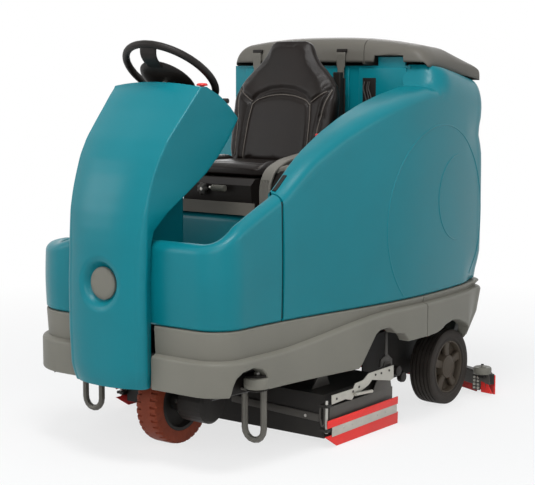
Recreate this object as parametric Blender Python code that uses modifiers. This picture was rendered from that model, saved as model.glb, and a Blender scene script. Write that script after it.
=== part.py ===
"""Ride-on floor scrubber: a battery machine with a seat, a steered drive wheel in front, a
scrub head between the axles and a vacuum squeegee behind.  Metres, +Z up, front towards -Y,
+X is the driver's left.  The origin is on the floor under the middle of the machine."""

from math import atan2, cos, hypot, pi, radians, sin

import bmesh
import bpy
from mathutils import Matrix, Vector

GAP = 0.0004                 # air between pieces that touch
SEAM = 0.003                 # visible seam between two body panels

# Body plan: half widths along the side, and the ends
FRONT_Y = -0.86              # flat front face beside the shroud
REAR_Y = 0.80
FRONT_HALF = 0.462           # half width behind the front corner
WIDE_HALF = 0.567            # half width at the widest place
REAR_HALF = 0.530
CORNER_Y = -0.74             # where the front corner ends
WIDE_Y = 0.23
REAR_CORNER_Y = 0.70
CORNER_R = 0.115
SKIRT_IN_X = 0.168           # inner edge of the front skirts, beside the shroud
PANEL_SEAM_Y = -0.54         # seam between front shell and tank
SKIRT_SPLIT_Y = 0.235

# Heights
SKIRT_LOW = 0.270
SKIRT_TOP = 0.4885
TANK_LOW = SKIRT_TOP + SEAM
FENDER_TOP = 0.765
WALL = 0.055                 # thickness of the hollow moulded walls
SKIRT_WALL = 0.030
BUMPER_STEP = 0.018          # how far the lower skirt stands proud
BUMPER_TOP = 0.385

# Cockpit
FLOOR_TOP = TANK_LOW - GAP
FLOOR_THICK = 0.012
SEAT_WALL_Y = -0.370
SHOULDER_TOP = 0.820
WING_IN_X = 0.405
TANK_FRONT_Y = 0.360
BAY_HALF = 0.350             # battery bay
BAY_REAR_Y = 0.320

# Recovery tank and lids
TANK_RIGHT_X = -0.450
TANK_LEFT_X = 0.415
TANK_REAR_Y = 0.745
TANK_BOTTOM = 0.600
TANK_TOP = 1.360
LID_SPLIT_X = 0.168
LID_RIGHT_X = -0.468
LID_LEFT_X = 0.505
LID_FRONT_Y = 0.335
LID_REAR_Y = 0.765
LID_LOW_FRONT = 1.374
LID_LOW_REAR = 1.302
LID_CROWN = 1.475
LID_SKIN = 0.005
LID_HINGE = (0.775, 1.318)   # Y and Z of the pin behind the lids

# Wheels
WHEEL_R = 0.153
REAR_AXLE_Y = 0.537
REAR_TYRE_W = 0.100
REAR_TYRE_X = 0.460          # middle of the tyre
REAR_RIM_R = 0.105
DRIVE_Y = -0.573
DRIVE_TYRE_W = 0.096
DRIVE_RIM_R = 0.105
AXLE_R = 0.0125
FORK_THICK = 0.012
FORK_GAP = 0.006

# Steering
STEER_WHEEL_R = 0.171        # to the middle of the rim
STEER_RIM_R = 0.0135
STEER_Z = 1.330
STEER_TILT = radians(37)

# Frame
RAIL_X = 0.330
RAIL_LOW = 0.315
RAIL_TOP = 0.360
KINGPIN_R = 0.030

# Seat
DECK_HALF = 0.226
DECK_FRONT_Y = -0.385
DECK_REAR_Y = 0.300
DECK_LOW = SHOULDER_TOP + SEAM
DECK_THICK = 0.008
DECK_LIP = 0.045
SEAT_FRONT_Y = -0.280
SEAT_HALF = 0.235
CUSHION_LOW = 0.950
CUSHION_TOP = 0.995
RECLINE = (0.060, 0.985)     # Y and Z of the backrest pivot

# Scrub head
HEAD_HALF = 0.480
HEAD_FRONT_Y = -0.305
HEAD_REAR_Y = 0.115
HEAD_TOP = 0.190
HEAD_WALL = 0.006
BRUSH_R = 0.086
BRUSH_HALF = 0.440
FLOOR_CLEAR = 0.0015         # bristles and blades over the floor
LIFT_PIVOT = (0.240, 0.285)  # Y and Z of the lift arm's pin on the frame
HEAD_PIVOT = (-0.095, 0.222) # Y and Z of the head's pin
ARM_X = 0.235
SIDE_PIN = (0.500, -0.318)   # X and Y of the side squeegee's pin
SIDE_LEN = 0.440

# Rear squeegee
SQUEEGEE_HALF = 0.572
SQUEEGEE_END_Y = 0.775
SQUEEGEE_REAR_Y = 0.955      # rearmost edge of the rear blade
SQUEEGEE_PIVOT_Y = 0.735
SQUEEGEE_HINGE = (0.690, 0.270)
CORNER_ROLLER = (0.440, -0.645)
CORNER_ROLLER_R = 0.046
LOOP_X = 0.385
LOOP_Y = -0.590
SKIRT_LOW_REAR = 0.250
FRAME_HALF = 0.0150          # half of the squeegee frame's depth
BLADE_THICK = 0.0055
ROLLER_X = 0.551             # rollers at the squeegee's ends
ROLLER_Y = 0.735
SWIVEL_Z = 0.110             # height of the squeegee's swivel
BRUSH_Y = (-0.189, -0.001)

# Controls and small pieces
BADGE_Z = 0.626
BADGE_CUP_R = 0.083
BADGE_R = 0.058
STOP_XY = (0.165, -0.598)
STOP_R = 0.015
LEVER_PIN = (0.160, -0.500, 1.2345)
PEDAL_HINGE = (-0.660, 0.507)
THROTTLE_X = (-0.300, -0.215)
BRAKE_X = (-0.195, -0.120)
SEAT_KNOB = (-0.054, -0.3275, 0.905)
SEAT_LEVER = (-0.010, -0.3300, 0.912)
LATCH_PIVOT = (0.346, 1.314)
LATCH_X = (-0.312, 0.111)

# Collections: the parts, and what cuts them

def clear_scene():
    for obj in list(bpy.data.objects):
        bpy.data.objects.remove(obj, do_unlink=True)


def collection(name):
    made = bpy.data.collections.new(name)
    bpy.context.scene.collection.children.link(made)
    return made


clear_scene()
PARTS = collection("floor_scrubber")
CUTTERS = collection("cutters")


def finish_of(name, color, roughness, metallic=0.0):
    """A Principled material, made once for each name."""
    found = bpy.data.materials.get(name)
    if found:
        return found
    made = bpy.data.materials.new(name)
    made.use_nodes = True
    shader = made.node_tree.nodes["Principled BSDF"]
    shader.inputs["Base Color"].default_value = (*color, 1.0)
    shader.inputs["Roughness"].default_value = roughness
    shader.inputs["Metallic"].default_value = metallic
    return made


def teal():
    return finish_of("teal_plastic", (0.004, 0.205, 0.245), 0.35)


def grey():
    return finish_of("grey_plastic", (0.195, 0.185, 0.160), 0.50)


def dark():
    return finish_of("black_plastic", (0.022, 0.020, 0.019), 0.50)


def steel():
    return finish_of("plain_steel", (0.360, 0.350, 0.330), 0.35, 1.0)


def black_steel():
    return finish_of("black_steel", (0.020, 0.020, 0.020), 0.45, 0.3)


def vinyl():
    return finish_of("seat_vinyl", (0.022, 0.018, 0.016), 0.40)


def rubber():
    return finish_of("tyre_rubber", (0.030, 0.026, 0.024), 0.75)


def red_rubber():
    return finish_of("red_polyurethane", (0.640, 0.045, 0.040), 0.45)


def drive_rubber():
    return finish_of("drive_tyre", (0.250, 0.045, 0.018), 0.60)


def bristle():
    return finish_of("bristles", (0.060, 0.060, 0.065), 0.80)


# Making tools

def link(name, mesh, material, home=None):
    obj = bpy.data.objects.new(name, mesh)
    (home or PARTS).objects.link(obj)
    if material:
        mesh.materials.clear()
        mesh.materials.append(material)
    return obj


def mesh_from_curve(obj, name):
    """The curve object's filled shape as a welded mesh in its own place; the curve is removed."""
    graph = bpy.context.evaluated_depsgraph_get()
    mesh = bpy.data.meshes.new_from_object(obj.evaluated_get(graph))
    mesh.transform(obj.matrix_world)
    bpy.data.objects.remove(obj, do_unlink=True)
    welded = bmesh.new()
    welded.from_mesh(mesh)
    bmesh.ops.remove_doubles(welded, verts=welded.verts, dist=0.00002)
    bmesh.ops.recalc_face_normals(welded, faces=welded.faces)
    welded.to_mesh(mesh)
    welded.free()
    mesh.name = name
    return mesh


# Where a flat outline's own x, y and thickness point, for each plane it can lie in
PLANES = {
    "XY": Matrix.Identity(3),
    "YZ": Matrix(((0, 0, 1), (1, 0, 0), (0, 1, 0))),
    "XZ": Matrix(((1, 0, 0), (0, 0, -1), (0, 1, 0))),
}


def flat_mesh(name, loops, plane, low, high):
    """Closed outlines in a plane, filled and extruded from low to high along its third axis."""
    curve = bpy.data.curves.new(name, "CURVE")
    curve.dimensions = "2D"
    curve.fill_mode = "BOTH"
    curve.extrude = abs(high - low) / 2
    for points in loops:
        spline = curve.splines.new("POLY")
        spline.points.add(len(points) - 1)
        for spot, (a, b) in zip(spline.points, points):
            spot.co = (a, b, 0.0, 1.0)
        spline.use_cyclic_u = True
    obj = bpy.data.objects.new(name, curve)
    bpy.context.scene.collection.objects.link(obj)
    turn = PLANES[plane]
    obj.matrix_world = turn.to_4x4()
    third = "XYZ".index(({"X", "Y", "Z"} - set(plane)).pop())
    obj.location[third] = (low + high) / 2
    bpy.context.view_layer.update()
    return mesh_from_curve(obj, name)


def flat(name, loops, plane, low, high, material, home=None):
    return link(name, flat_mesh(name, loops, plane, low, high), material, home)


def box(name, low, high, material=None, home=None, bevel=0.0):
    """A box between two corners, with its edges rounded if bevel is given."""
    made = bmesh.new()
    bmesh.ops.create_cube(made, size=1.0)
    size = Vector(high) - Vector(low)
    middle = (Vector(high) + Vector(low)) / 2
    bmesh.ops.scale(made, vec=size, verts=made.verts)
    bmesh.ops.translate(made, vec=middle, verts=made.verts)
    mesh = bpy.data.meshes.new(name)
    made.to_mesh(mesh)
    made.free()
    obj = link(name, mesh, material, home)
    if bevel:
        round_edges(obj, bevel)
    return obj


def round_edges(obj, width, segments=2, angle=30):
    rounding = obj.modifiers.new("rounding", "BEVEL")
    rounding.width = width
    rounding.segments = segments
    rounding.limit_method = "ANGLE"
    rounding.angle_limit = radians(angle)
    return obj


def cylinder_mesh(name, radius, start, end, sides=16):
    """A round bar from start to end, as a mesh in world coordinates."""
    start = Vector(start)
    end = Vector(end)
    made = bmesh.new()
    bmesh.ops.create_cone(made, cap_ends=True, segments=sides, radius1=radius, radius2=radius,
                          depth=(end - start).length)
    aim = (end - start).to_track_quat("Z", "Y").to_matrix().to_4x4()
    bmesh.ops.transform(made, matrix=Matrix.Translation((start + end) / 2) @ aim, verts=made.verts)
    mesh = bpy.data.meshes.new(name)
    made.to_mesh(mesh)
    made.free()
    mesh.shade_smooth()
    mesh.set_sharp_from_angle(angle=radians(40))
    return mesh


def bar(name, radius, start, end, material=None, home=None, sides=16):
    return link(name, cylinder_mesh(name, radius, start, end, sides), material, home)


def turned(name, profile, place, axis, material, steps=48, closed=False):
    """A profile of (radius, height) pairs turned about an axis of the world through place."""
    mesh = bpy.data.meshes.new(name)
    count = len(profile)
    edges = [(i, i + 1) for i in range(count - 1)]
    if closed:
        edges.append((count - 1, 0))
    mesh.from_pydata([(r, 0.0, h) for r, h in profile], edges, [])
    obj = link(name, mesh, material)
    obj.location = place
    if axis == "X":
        obj.rotation_euler = (0.0, pi / 2, 0.0)
    elif axis == "Y":
        obj.rotation_euler = (-pi / 2, 0.0, 0.0)
    screw = obj.modifiers.new("turned", "SCREW")
    screw.axis = "Z"
    screw.steps = steps
    screw.render_steps = steps
    screw.use_merge_vertices = True
    screw.merge_threshold = 0.00001
    screw.use_smooth_shade = True
    return obj


def tube(name, points, radius, material, sides=3, cyclic=False, home=None):
    """A round tube along points; sides is the curve's bevel resolution."""
    curve = bpy.data.curves.new(name, "CURVE")
    curve.dimensions = "3D"
    curve.bevel_depth = radius
    curve.bevel_resolution = sides
    curve.use_fill_caps = True
    spline = curve.splines.new("POLY")
    spline.points.add(len(points) - 1)
    for spot, point in zip(spline.points, points):
        spot.co = (*point, 1.0)
    spline.use_cyclic_u = cyclic
    obj = bpy.data.objects.new(name, curve)
    bpy.context.scene.collection.objects.link(obj)
    bpy.context.view_layer.update()
    mesh = mesh_from_curve(obj, name)
    mesh.shade_smooth()
    return link(name, mesh, material, home)


def loft(name, rings, material, home=None):
    """A closed body through rings of equal counts of points, its two ends capped."""
    made = bmesh.new()
    rows = [[made.verts.new(p) for p in ring] for ring in rings]
    count = len(rings[0])
    for one, two in zip(rows, rows[1:]):
        for i in range(count):
            j = (i + 1) % count
            made.faces.new((one[i], one[j], two[j], two[i]))
    made.faces.new(rows[0][::-1])
    made.faces.new(rows[-1])
    bmesh.ops.recalc_face_normals(made, faces=made.faces)
    mesh = bpy.data.meshes.new(name)
    made.to_mesh(mesh)
    made.free()
    return link(name, mesh, material, home)


def combine(obj, other, operation):
    """Boolean between obj and a helper, which stays as a wire in the cutters' collection."""
    other.hide_render = True
    other.display_type = "WIRE"
    step = obj.modifiers.new(other.name, "BOOLEAN")
    step.operation = operation
    step.solver = "EXACT"
    step.object = other
    return obj


def cut_box(obj, low, high):
    return combine(obj, box(obj.name + "_cut", low, high, None, CUTTERS), "DIFFERENCE")


def cut_bar(obj, radius, start, end, sides=16):
    hole = bar(obj.name + "_hole", radius, start, end, None, CUTTERS, sides)
    return combine(obj, hole, "DIFFERENCE")


def cut_flat(obj, loops, plane, low, high):
    return combine(obj, flat(obj.name + "_cut", loops, plane, low, high, None, CUTTERS), "DIFFERENCE")


def add_box(obj, low, high):
    return combine(obj, box(obj.name + "_add", low, high, None, CUTTERS), "UNION")


def add_bar(obj, radius, start, end, sides=16):
    return combine(obj, bar(obj.name + "_bar", radius, start, end, None, CUTTERS, sides), "UNION")


def add_flat(obj, loops, plane, low, high):
    return combine(obj, flat(obj.name + "_plate", loops, plane, low, high, None, CUTTERS), "UNION")


def arc(middle, radius, start, end, steps):
    """Points of a round stretch, angles in degrees, both ends included."""
    spots = [radians(start + (end - start) * i / steps) for i in range(steps + 1)]
    return [(middle[0] + radius * cos(a), middle[1] + radius * sin(a)) for a in spots]


def at_origin(obj, x, y, z):
    """Moves the object's origin to a point, leaving its shape where it is."""
    obj.data.transform(Matrix.Translation((-x, -y, -z)))
    obj.location = (x, y, z)
    return obj


# Outline of the body seen from above

def half_width(y):
    """Half width at y: eases out from the front corner to the widest place, then in."""
    if y <= WIDE_Y:
        share = (y - CORNER_Y) / (WIDE_Y - CORNER_Y)
        return FRONT_HALF + (WIDE_HALF - FRONT_HALF) * (0.5 - 0.5 * cos(pi * share))
    share = (y - WIDE_Y) / (REAR_CORNER_Y - WIDE_Y)
    return WIDE_HALF - (WIDE_HALF - REAR_HALF) * share * share


def side_run(start, end, steps):
    """Points along the left side between two y values."""
    ys = [start + (end - start) * i / steps for i in range(steps + 1)]
    return [(half_width(y), y) for y in ys]


def front_corner():
    middle = (FRONT_HALF - CORNER_R, FRONT_Y + CORNER_R)
    return arc(middle, CORNER_R, -90, 0, 8)


def rear_corner():
    radius = REAR_Y - REAR_CORNER_Y
    return arc((REAR_HALF - radius, REAR_CORNER_Y), radius, 0, 90, 8)


def inset(points, depth):
    """The run of points moved to its left by depth, which is inwards on the left side."""
    moved = []
    for i, (x, y) in enumerate(points):
        before = points[max(i - 1, 0)]
        after = points[min(i + 1, len(points) - 1)]
        dx = after[0] - before[0]
        dy = after[1] - before[1]
        size = hypot(dx, dy)
        moved.append((x - depth * dy / size, y + depth * dx / size))
    return moved


def band(points, outward, inward):
    """A closed strip along the points, from outward of them to inward of them."""
    return inset(points, -outward) + inset(points, inward)[::-1]


def mirrored(points):
    return [(-x, y) for x, y in points]


def ridge(y):
    """Height of the left wing's top edge: a low sill at the feet that sweeps up to the rear."""
    low = FENDER_TOP
    if y < -0.86:
        return low
    knots = ((-0.86, low), (-0.70, 0.848), (-0.54, 0.918), (-0.43, 1.010), (-0.25, 1.120),
             (0.0, 1.215), (0.28, 1.278), (0.40, 1.290), (REAR_Y, 1.290))
    for (y0, z0), (y1, z1) in zip(knots, knots[1:]):
        if y <= y1:
            return z0 + (z1 - z0) * (y - y0) / (y1 - y0)
    return knots[-1][1]


# Chassis

def main_frame():
    """Welded ladder with a slewing plate in front, stub axles and the hinge brackets."""
    x, inner = RAIL_X + 0.015, RAIL_X - 0.020
    outer = [(-x, -0.46), (x, -0.46), (x, 0.72), (-x, 0.72)]
    bays = [[(-inner, a), (inner, a), (inner, b), (-inner, b)]
            for a, b in ((-0.42, -0.06), (-0.02, 0.20), (0.28, 0.66))]
    frame = flat("main_frame", [outer] + bays, "XY", RAIL_LOW, RAIL_TOP, black_steel())
    plate = [(-x, -0.735), (x, -0.735), (x, -0.44), (-x, -0.44)]
    add_flat(frame, [plate], "XY", RAIL_TOP - 0.027, RAIL_TOP)
    cut_bar(frame, KINGPIN_R + 0.001, (0, DRIVE_Y, 0.2), (0, DRIVE_Y, 0.5), 32)
    lift_y, lift_z = LIFT_PIVOT
    hinge_y, hinge_z = SQUEEGEE_HINGE
    for side in (-1, 1):
        a, b = sorted((side * inner, side * x))
        add_box(frame, (a, REAR_AXLE_Y - 0.03, WHEEL_R - 0.03), (b, REAR_AXLE_Y + 0.03, RAIL_LOW + 0.01))
        end = REAR_TYRE_X + REAR_TYRE_W / 2 - 0.008
        add_bar(frame, AXLE_R, (side * inner, REAR_AXLE_Y, WHEEL_R), (side * end, REAR_AXLE_Y, WHEEL_R))
        a, b = sorted((side * (ARM_X + 0.010), side * (ARM_X + 0.022)))
        add_box(frame, (a, lift_y - 0.018, lift_z - 0.018), (b, lift_y + 0.018, RAIL_LOW + 0.01))
        a, b = sorted((side * 0.050, side * 0.060))
        add_box(frame, (a, hinge_y - 0.016, hinge_z - 0.016), (b, hinge_y + 0.016, RAIL_LOW + 0.01))
    cut_bar(frame, 0.0105, (-0.3, lift_y, lift_z), (0.3, lift_y, lift_z), 20)
    cut_bar(frame, 0.0065, (-0.1, hinge_y, hinge_z), (0.1, hinge_y, hinge_z), 20)


def tie_down(name, side):
    """Steel U loop under the front corner, on a plate that also carries the corner roller."""
    half = 0.0415
    low = 0.060 + 0.0115
    bend = [(side * LOOP_X + half * cos(a), LOOP_Y, low + half + half * sin(a))
            for a in [pi + pi * i / 8 for i in range(9)]]
    top = 0.267
    points = [(side * LOOP_X - half, LOOP_Y, top)] + bend + [(side * LOOP_X + half, LOOP_Y, top)]
    loop = tube(name, points, 0.0115, steel(), 2)
    x, y = CORNER_ROLLER
    a, b = sorted((side * 0.312, side * (x + 0.014)))
    add_box(loop, (a, y - 0.020, 0.262), (b, LOOP_Y + 0.016, 0.270))
    a, b = sorted((side * 0.312, side * 0.344))
    add_box(loop, (a, LOOP_Y - 0.030, 0.266), (b, LOOP_Y + 0.014, RAIL_TOP - 0.027 - GAP))
    add_bar(loop, 0.006, (side * x, y, 0.266), (side * x, y, 0.322), 16)


def corner_roller(name, side):
    x, y = CORNER_ROLLER
    ring = [(CORNER_ROLLER_R, 0.020), (CORNER_ROLLER_R, -0.020), (0.0066, -0.020), (0.0066, 0.020)]
    turned(name, ring, (side * x, y, 0.2925), "Z", grey(), 24, True)


def battery_pack():
    pack = box("battery_pack", (-0.328, -0.320, RAIL_TOP + GAP), (0.328, 0.120, 0.800), dark())
    round_edges(pack, 0.008)


def vacuum_fan():
    z = RAIL_TOP + GAP
    side = [(0.0, z + 0.150), (0.050, z + 0.150), (0.055, z + 0.140), (0.055, z + 0.060),
            (0.075, z + 0.055), (0.075, z), (0.0, z)]
    turned("vacuum_fan", side, (0.0, 0.225, 0.0), "Z", dark(), 24)


# Body panels

def front_path():
    """From the right end, round both front corners, to the seam on the left side."""
    left = front_corner() + side_run(CORNER_Y + 0.02, PANEL_SEAM_Y - SEAM / 2, 4)
    right = mirrored(front_corner() + side_run(CORNER_Y + 0.02, -0.640, 2))[::-1]
    return right + left


def above_ridge():
    """Everything above the left wing's edge, in the side view."""
    ys = (-0.95, -0.86, -0.70, -0.54, -0.43, -0.25, 0.0, 0.28, 0.40, 0.95)
    return [(y, ridge(y)) for y in ys] + [(0.95, 1.6), (-0.95, 1.6)]


def front_shell():
    """Hollow front wall of the cockpit: it wraps both corners and starts the left wing."""
    top = ridge(PANEL_SEAM_Y) + 0.01
    shell = flat("front_shell", [band(front_path(), 0.0, WALL)], "XY", TANK_LOW, top, teal())
    cut_flat(shell, [above_ridge()], "YZ", 0.0, 0.7)
    cut_box(shell, (0.2, PANEL_SEAM_Y - SEAM / 2, 0.4), (0.7, PANEL_SEAM_Y + 0.1, 1.6))
    cut_box(shell, (-0.7, -0.95, FENDER_TOP), (0.001, -0.4, 1.6))


def tank_plan():
    """Plan of the tank: left wing, rear, right side, and the seat wall across the middle."""
    left = side_run(PANEL_SEAM_Y + SEAM / 2, REAR_CORNER_Y - 0.02, 14) + rear_corner()
    right = mirrored(rear_corner()[::-1] + side_run(SEAT_WALL_Y, REAR_CORNER_Y - 0.02, 10)[::-1])
    return left + right + [(WING_IN_X, SEAT_WALL_Y), (WING_IN_X, PANEL_SEAM_Y + SEAM / 2)]


def solution_tank():
    """Moulded tank that is the body of the machine: battery bay, left wing and filler neck."""
    wing_top = ridge(REAR_Y)
    tank = flat("solution_tank", [tank_plan()], "XY", TANK_LOW, wing_top, teal())
    cut_flat(tank, [above_ridge()], "YZ", WING_IN_X - 0.01, 0.7)
    cut_box(tank, (-0.7, -0.6, SHOULDER_TOP), (WING_IN_X, TANK_FRONT_Y - GAP, 1.6))
    cut_box(tank, (-0.7, 0.30, 1.100), (TANK_RIGHT_X - GAP, 1.0, 1.6))
    pocket_low = (TANK_RIGHT_X - GAP, TANK_FRONT_Y - 0.01, TANK_BOTTOM - GAP)
    cut_box(tank, pocket_low, (TANK_LEFT_X + GAP, TANK_REAR_Y + GAP, 1.6))
    cut_box(tank, (-BAY_HALF, SEAT_WALL_Y + 0.035, 0.4), (BAY_HALF, BAY_REAR_Y, 0.9))
    neck = [(0.375, wing_top - 0.01), (0.375, 1.352), (0.720, 1.300), (0.720, wing_top - 0.01)]
    add_flat(tank, [neck], "YZ", TANK_LEFT_X + 0.002, 0.470)
    side_in = BAY_HALF + 0.022
    cut_box(tank, (side_in, -0.28, TANK_LOW + 0.03), (0.480, 0.66, SHOULDER_TOP - 0.02))
    cut_box(tank, (WING_IN_X + 0.022, 0.0, SHOULDER_TOP - 0.04), (0.480, 0.66, 1.180))
    cut_box(tank, (WING_IN_X + 0.022, 0.45, 1.1), (0.460, 0.62, 1.6))
    y, z = LID_HINGE
    add_bar(tank, 0.004, (-0.44, y, z), (0.485, y, z), 16)
    for x in (-0.447, LID_SPLIT_X, 0.482):
        add_box(tank, (x - 0.006, y - 0.007, wing_top - 0.01), (x + 0.006, y + 0.007, z + 0.006))


def recovery_tank():
    """Dirty water tank behind the seat, open under the lids."""
    low = (TANK_RIGHT_X, TANK_FRONT_Y, TANK_BOTTOM)
    tank = box("recovery_tank", low, (TANK_LEFT_X, TANK_REAR_Y, TANK_TOP), teal())
    slope = [(TANK_FRONT_Y - 0.1, TANK_TOP + 0.001), (TANK_FRONT_Y + 0.05, TANK_TOP + 0.001),
             (TANK_REAR_Y + 0.1, 1.278), (TANK_REAR_Y + 0.1, 1.6), (TANK_FRONT_Y - 0.1, 1.6)]
    cut_flat(tank, [slope], "YZ", -0.7, 0.7)
    wall = 0.010
    cut_box(tank, (TANK_RIGHT_X + wall, TANK_FRONT_Y + wall, TANK_BOTTOM + wall),
            (TANK_LEFT_X - wall, TANK_REAR_Y - wall, 1.6))
    add_box(tank, (0.268, TANK_FRONT_Y, 1.300), (0.392, TANK_FRONT_Y + wall, 1.394))
    cut_box(tank, (0.199, TANK_FRONT_Y - 0.01, 1.205), (0.261, TANK_FRONT_Y + 0.006, 1.312))


def skirt(name, points, low):
    """Grey bumper skirt carried along the points, its lower half standing proud."""
    inside = inset(points, SKIRT_WALL)
    proud = inset(points, -BUMPER_STEP)
    rings = []
    for (x, y), (ix, iy), (px, py) in zip(points, inside, proud):
        rings.append([(ix, iy, low), (px, py, low), (px, py, BUMPER_TOP),
                      (x, y, BUMPER_TOP + BUMPER_STEP), (x, y, SKIRT_TOP), (ix, iy, SKIRT_TOP)])
    return loft(name, rings, grey())


def side_skirt(name, side):
    points = [(SKIRT_IN_X, FRONT_Y)] + front_corner()
    points += side_run(CORNER_Y + 0.02, SKIRT_SPLIT_Y - SEAM / 2, 10)
    if side < 0:
        points = mirrored(points)[::-1]
    made = skirt(name, points, SKIRT_LOW)
    rear = SKIRT_SPLIT_Y + 0.05
    recess = [(-0.165, 0.20), (-0.165, 0.275), (-0.075, 0.390), (-0.020, 0.395), (0.030, 0.368),
              (0.085, 0.360), (0.104, 0.330), (rear, 0.330), (rear, 0.20)]
    a, b = sorted((side * 0.35, side * 0.70))
    cut_flat(made, [recess], "YZ", a, b)
    x, y = CORNER_ROLLER
    cut_bar(made, 0.058, (side * x, y, 0.2), (side * x, y, 0.335), 32)


def rear_skirt():
    left = side_run(SKIRT_SPLIT_Y + SEAM / 2, REAR_CORNER_Y - 0.02, 8) + rear_corner()
    made = skirt("rear_skirt", left + mirrored(left)[::-1], SKIRT_LOW_REAR)
    cut_bar(made, 0.200, (-0.7, REAR_AXLE_Y, WHEEL_R), (0.7, REAR_AXLE_Y, WHEEL_R), 48)
    cut_box(made, (-0.7, 0.1, 0.1), (0.7, REAR_AXLE_Y, 0.330))
    cut_box(made, (-0.42, 0.6, 0.1), (0.42, 1.0, 0.300))


def shroud_row(z, front, corner, rear, half, rear_half, top=0.0):
    """Half of one level of the shroud: front face, rounded corner, then the side to its rear."""
    bow = [(0.0, front), (0.45 * half, front + 0.20 * (corner - front)),
           (0.80 * half, front + 0.62 * (corner - front)),
           (0.95 * half, corner - 0.006), (half, corner + 0.012 * min(1, (rear - corner) / 0.05))]
    reach = rear - bow[-1][1]
    bow += [(half + (rear_half - half) * s, bow[-1][1] + reach * s) for s in (0.33, 0.66, 1.0)]
    return [(x, y, z + top * (1 - min(1, x / half) ** 2)) for x, y in bow]


def front_shroud():
    """Moulded shield over the steering column, its side flanges swept back to the dash."""
    rows = [shroud_row(0.288, -0.950, -0.922, -0.868, 0.166, 0.158, -0.014),
            shroud_row(0.330, -0.955, -0.930, -0.868, 0.174, 0.160),
            shroud_row(0.450, -0.955, -0.934, -0.868, 0.177, 0.160),
            shroud_row(0.620, -0.955, -0.934, -0.868, 0.177, 0.160),
            shroud_row(0.760, -0.948, -0.926, -0.868, 0.177, 0.165),
            shroud_row(0.810, -0.943, -0.920, -0.862, 0.177, 0.172),
            shroud_row(0.870, -0.933, -0.910, -0.805, 0.178, 0.186),
            shroud_row(0.930, -0.918, -0.893, -0.712, 0.179, 0.194),
            shroud_row(0.990, -0.898, -0.872, -0.620, 0.181, 0.199),
            shroud_row(1.050, -0.870, -0.846, -0.550, 0.186, 0.201),
            shroud_row(1.110, -0.830, -0.808, -0.493, 0.190, 0.202),
            shroud_row(1.175, -0.770, -0.750, -0.445, 0.195, 0.202),
            shroud_row(1.215, -0.733, -0.713, -0.490, 0.198, 0.203),
            shroud_row(1.255, -0.695, -0.677, -0.548, 0.201, 0.204),
            shroud_row(1.287, -0.660, -0.645, -0.620, 0.203, 0.204, 0.016)]
    grid = [[(-x, y, z) for x, y, z in row[:0:-1]] + row for row in rows]
    wide = len(grid[0])
    points = [p for row in grid for p in row]
    faces = [(i * wide + j, i * wide + j + 1, (i + 1) * wide + j + 1, (i + 1) * wide + j)
             for i in range(len(grid) - 1) for j in range(wide - 1)]
    mesh = bpy.data.meshes.new("front_shroud")
    mesh.from_pydata(points, [], faces)
    shell = link("front_shroud", mesh, teal())
    skin = shell.modifiers.new("skin", "SOLIDIFY")
    skin.thickness = 0.004
    skin.offset = -1.0
    cut_bar(shell, BADGE_CUP_R + GAP, (0, -1.0, BADGE_Z), (0, -0.90, BADGE_Z), 28)


def badge():
    """Round dish in the shroud with a plain disc on its floor."""
    y = -0.9470
    wall = 0.004
    dish = [(0.0, 0.0), (BADGE_R, 0.0), (BADGE_R + 0.004, 0.006), (BADGE_CUP_R - wall, 0.026),
            (BADGE_CUP_R, 0.026), (BADGE_CUP_R, 0.020), (BADGE_R + 0.006, -wall), (0.0, -wall)]
    turned("badge_dish", [(r, -h) for r, h in dish[::-1]], (0, y + 0.026, BADGE_Z), "Y", teal(), 28)
    disc = [(0.0, 0.007), (BADGE_R - 0.004, 0.007), (BADGE_R - 0.001, 0.004), (BADGE_R - 0.001, GAP),
            (0.0, GAP)]
    turned("round_badge", [(r, -h) for r, h in disc[::-1]], (0, y + 0.026, BADGE_Z), "Y", grey(), 28)


def floor_plate():
    """Anti-slip floor of the footwell, open to the right, with the pedals' mounting block."""
    inner = inset(front_path(), WALL + 0.001)
    left = [p for p in inner if p[0] > 0]
    right = [p for p in inner if p[0] < 0]
    edge_x = FRONT_HALF - SKIRT_WALL - 0.002
    plan = right + left + [(WING_IN_X - 0.002, SEAT_WALL_Y - 0.003), (-edge_x, SEAT_WALL_Y - 0.003),
                           (-edge_x, -0.638)]
    plate = flat("floor_plate", [plan], "XY", FLOOR_TOP - FLOOR_THICK, FLOOR_TOP, rubber())
    add_box(plate, (-0.305, -0.668, FLOOR_TOP - 0.004), (-0.115, -0.652, FLOOR_TOP + 0.008))


def column_cover():
    """Moulded cover over the lower steering column, open at its foot and top."""
    cover = box("column_cover", (-0.100, -0.795, FLOOR_TOP + GAP), (0.100, -0.620, 1.040), teal())
    round_edges(cover, 0.012)
    cut_box(cover, (-0.092, -0.787, 0.4), (0.092, -0.628, 1.2))


def side_console():
    """Moulded cover between the seat and the left wing."""
    low = SHOULDER_TOP + GAP
    side = [(-0.365, low), (-0.372, 0.93), (-0.340, 0.985), (-0.20, 1.010), (-0.06, 1.055),
            (0.30, 1.055), (0.30, low)]
    flat("side_console", [side], "YZ", 0.245, WING_IN_X - 0.002, dark())


def belt_buckle():
    buckle = box("belt_buckle", (0.250, -0.045, 1.055 + GAP), (0.276, -0.010, 1.105), red_rubber())
    round_edges(buckle, 0.004)


# Steering

def steer_axis():
    return Vector((0.0, sin(STEER_TILT), cos(STEER_TILT)))


def steer_middle():
    return Vector((0.0, DRIVE_Y, STEER_Z))


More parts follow.
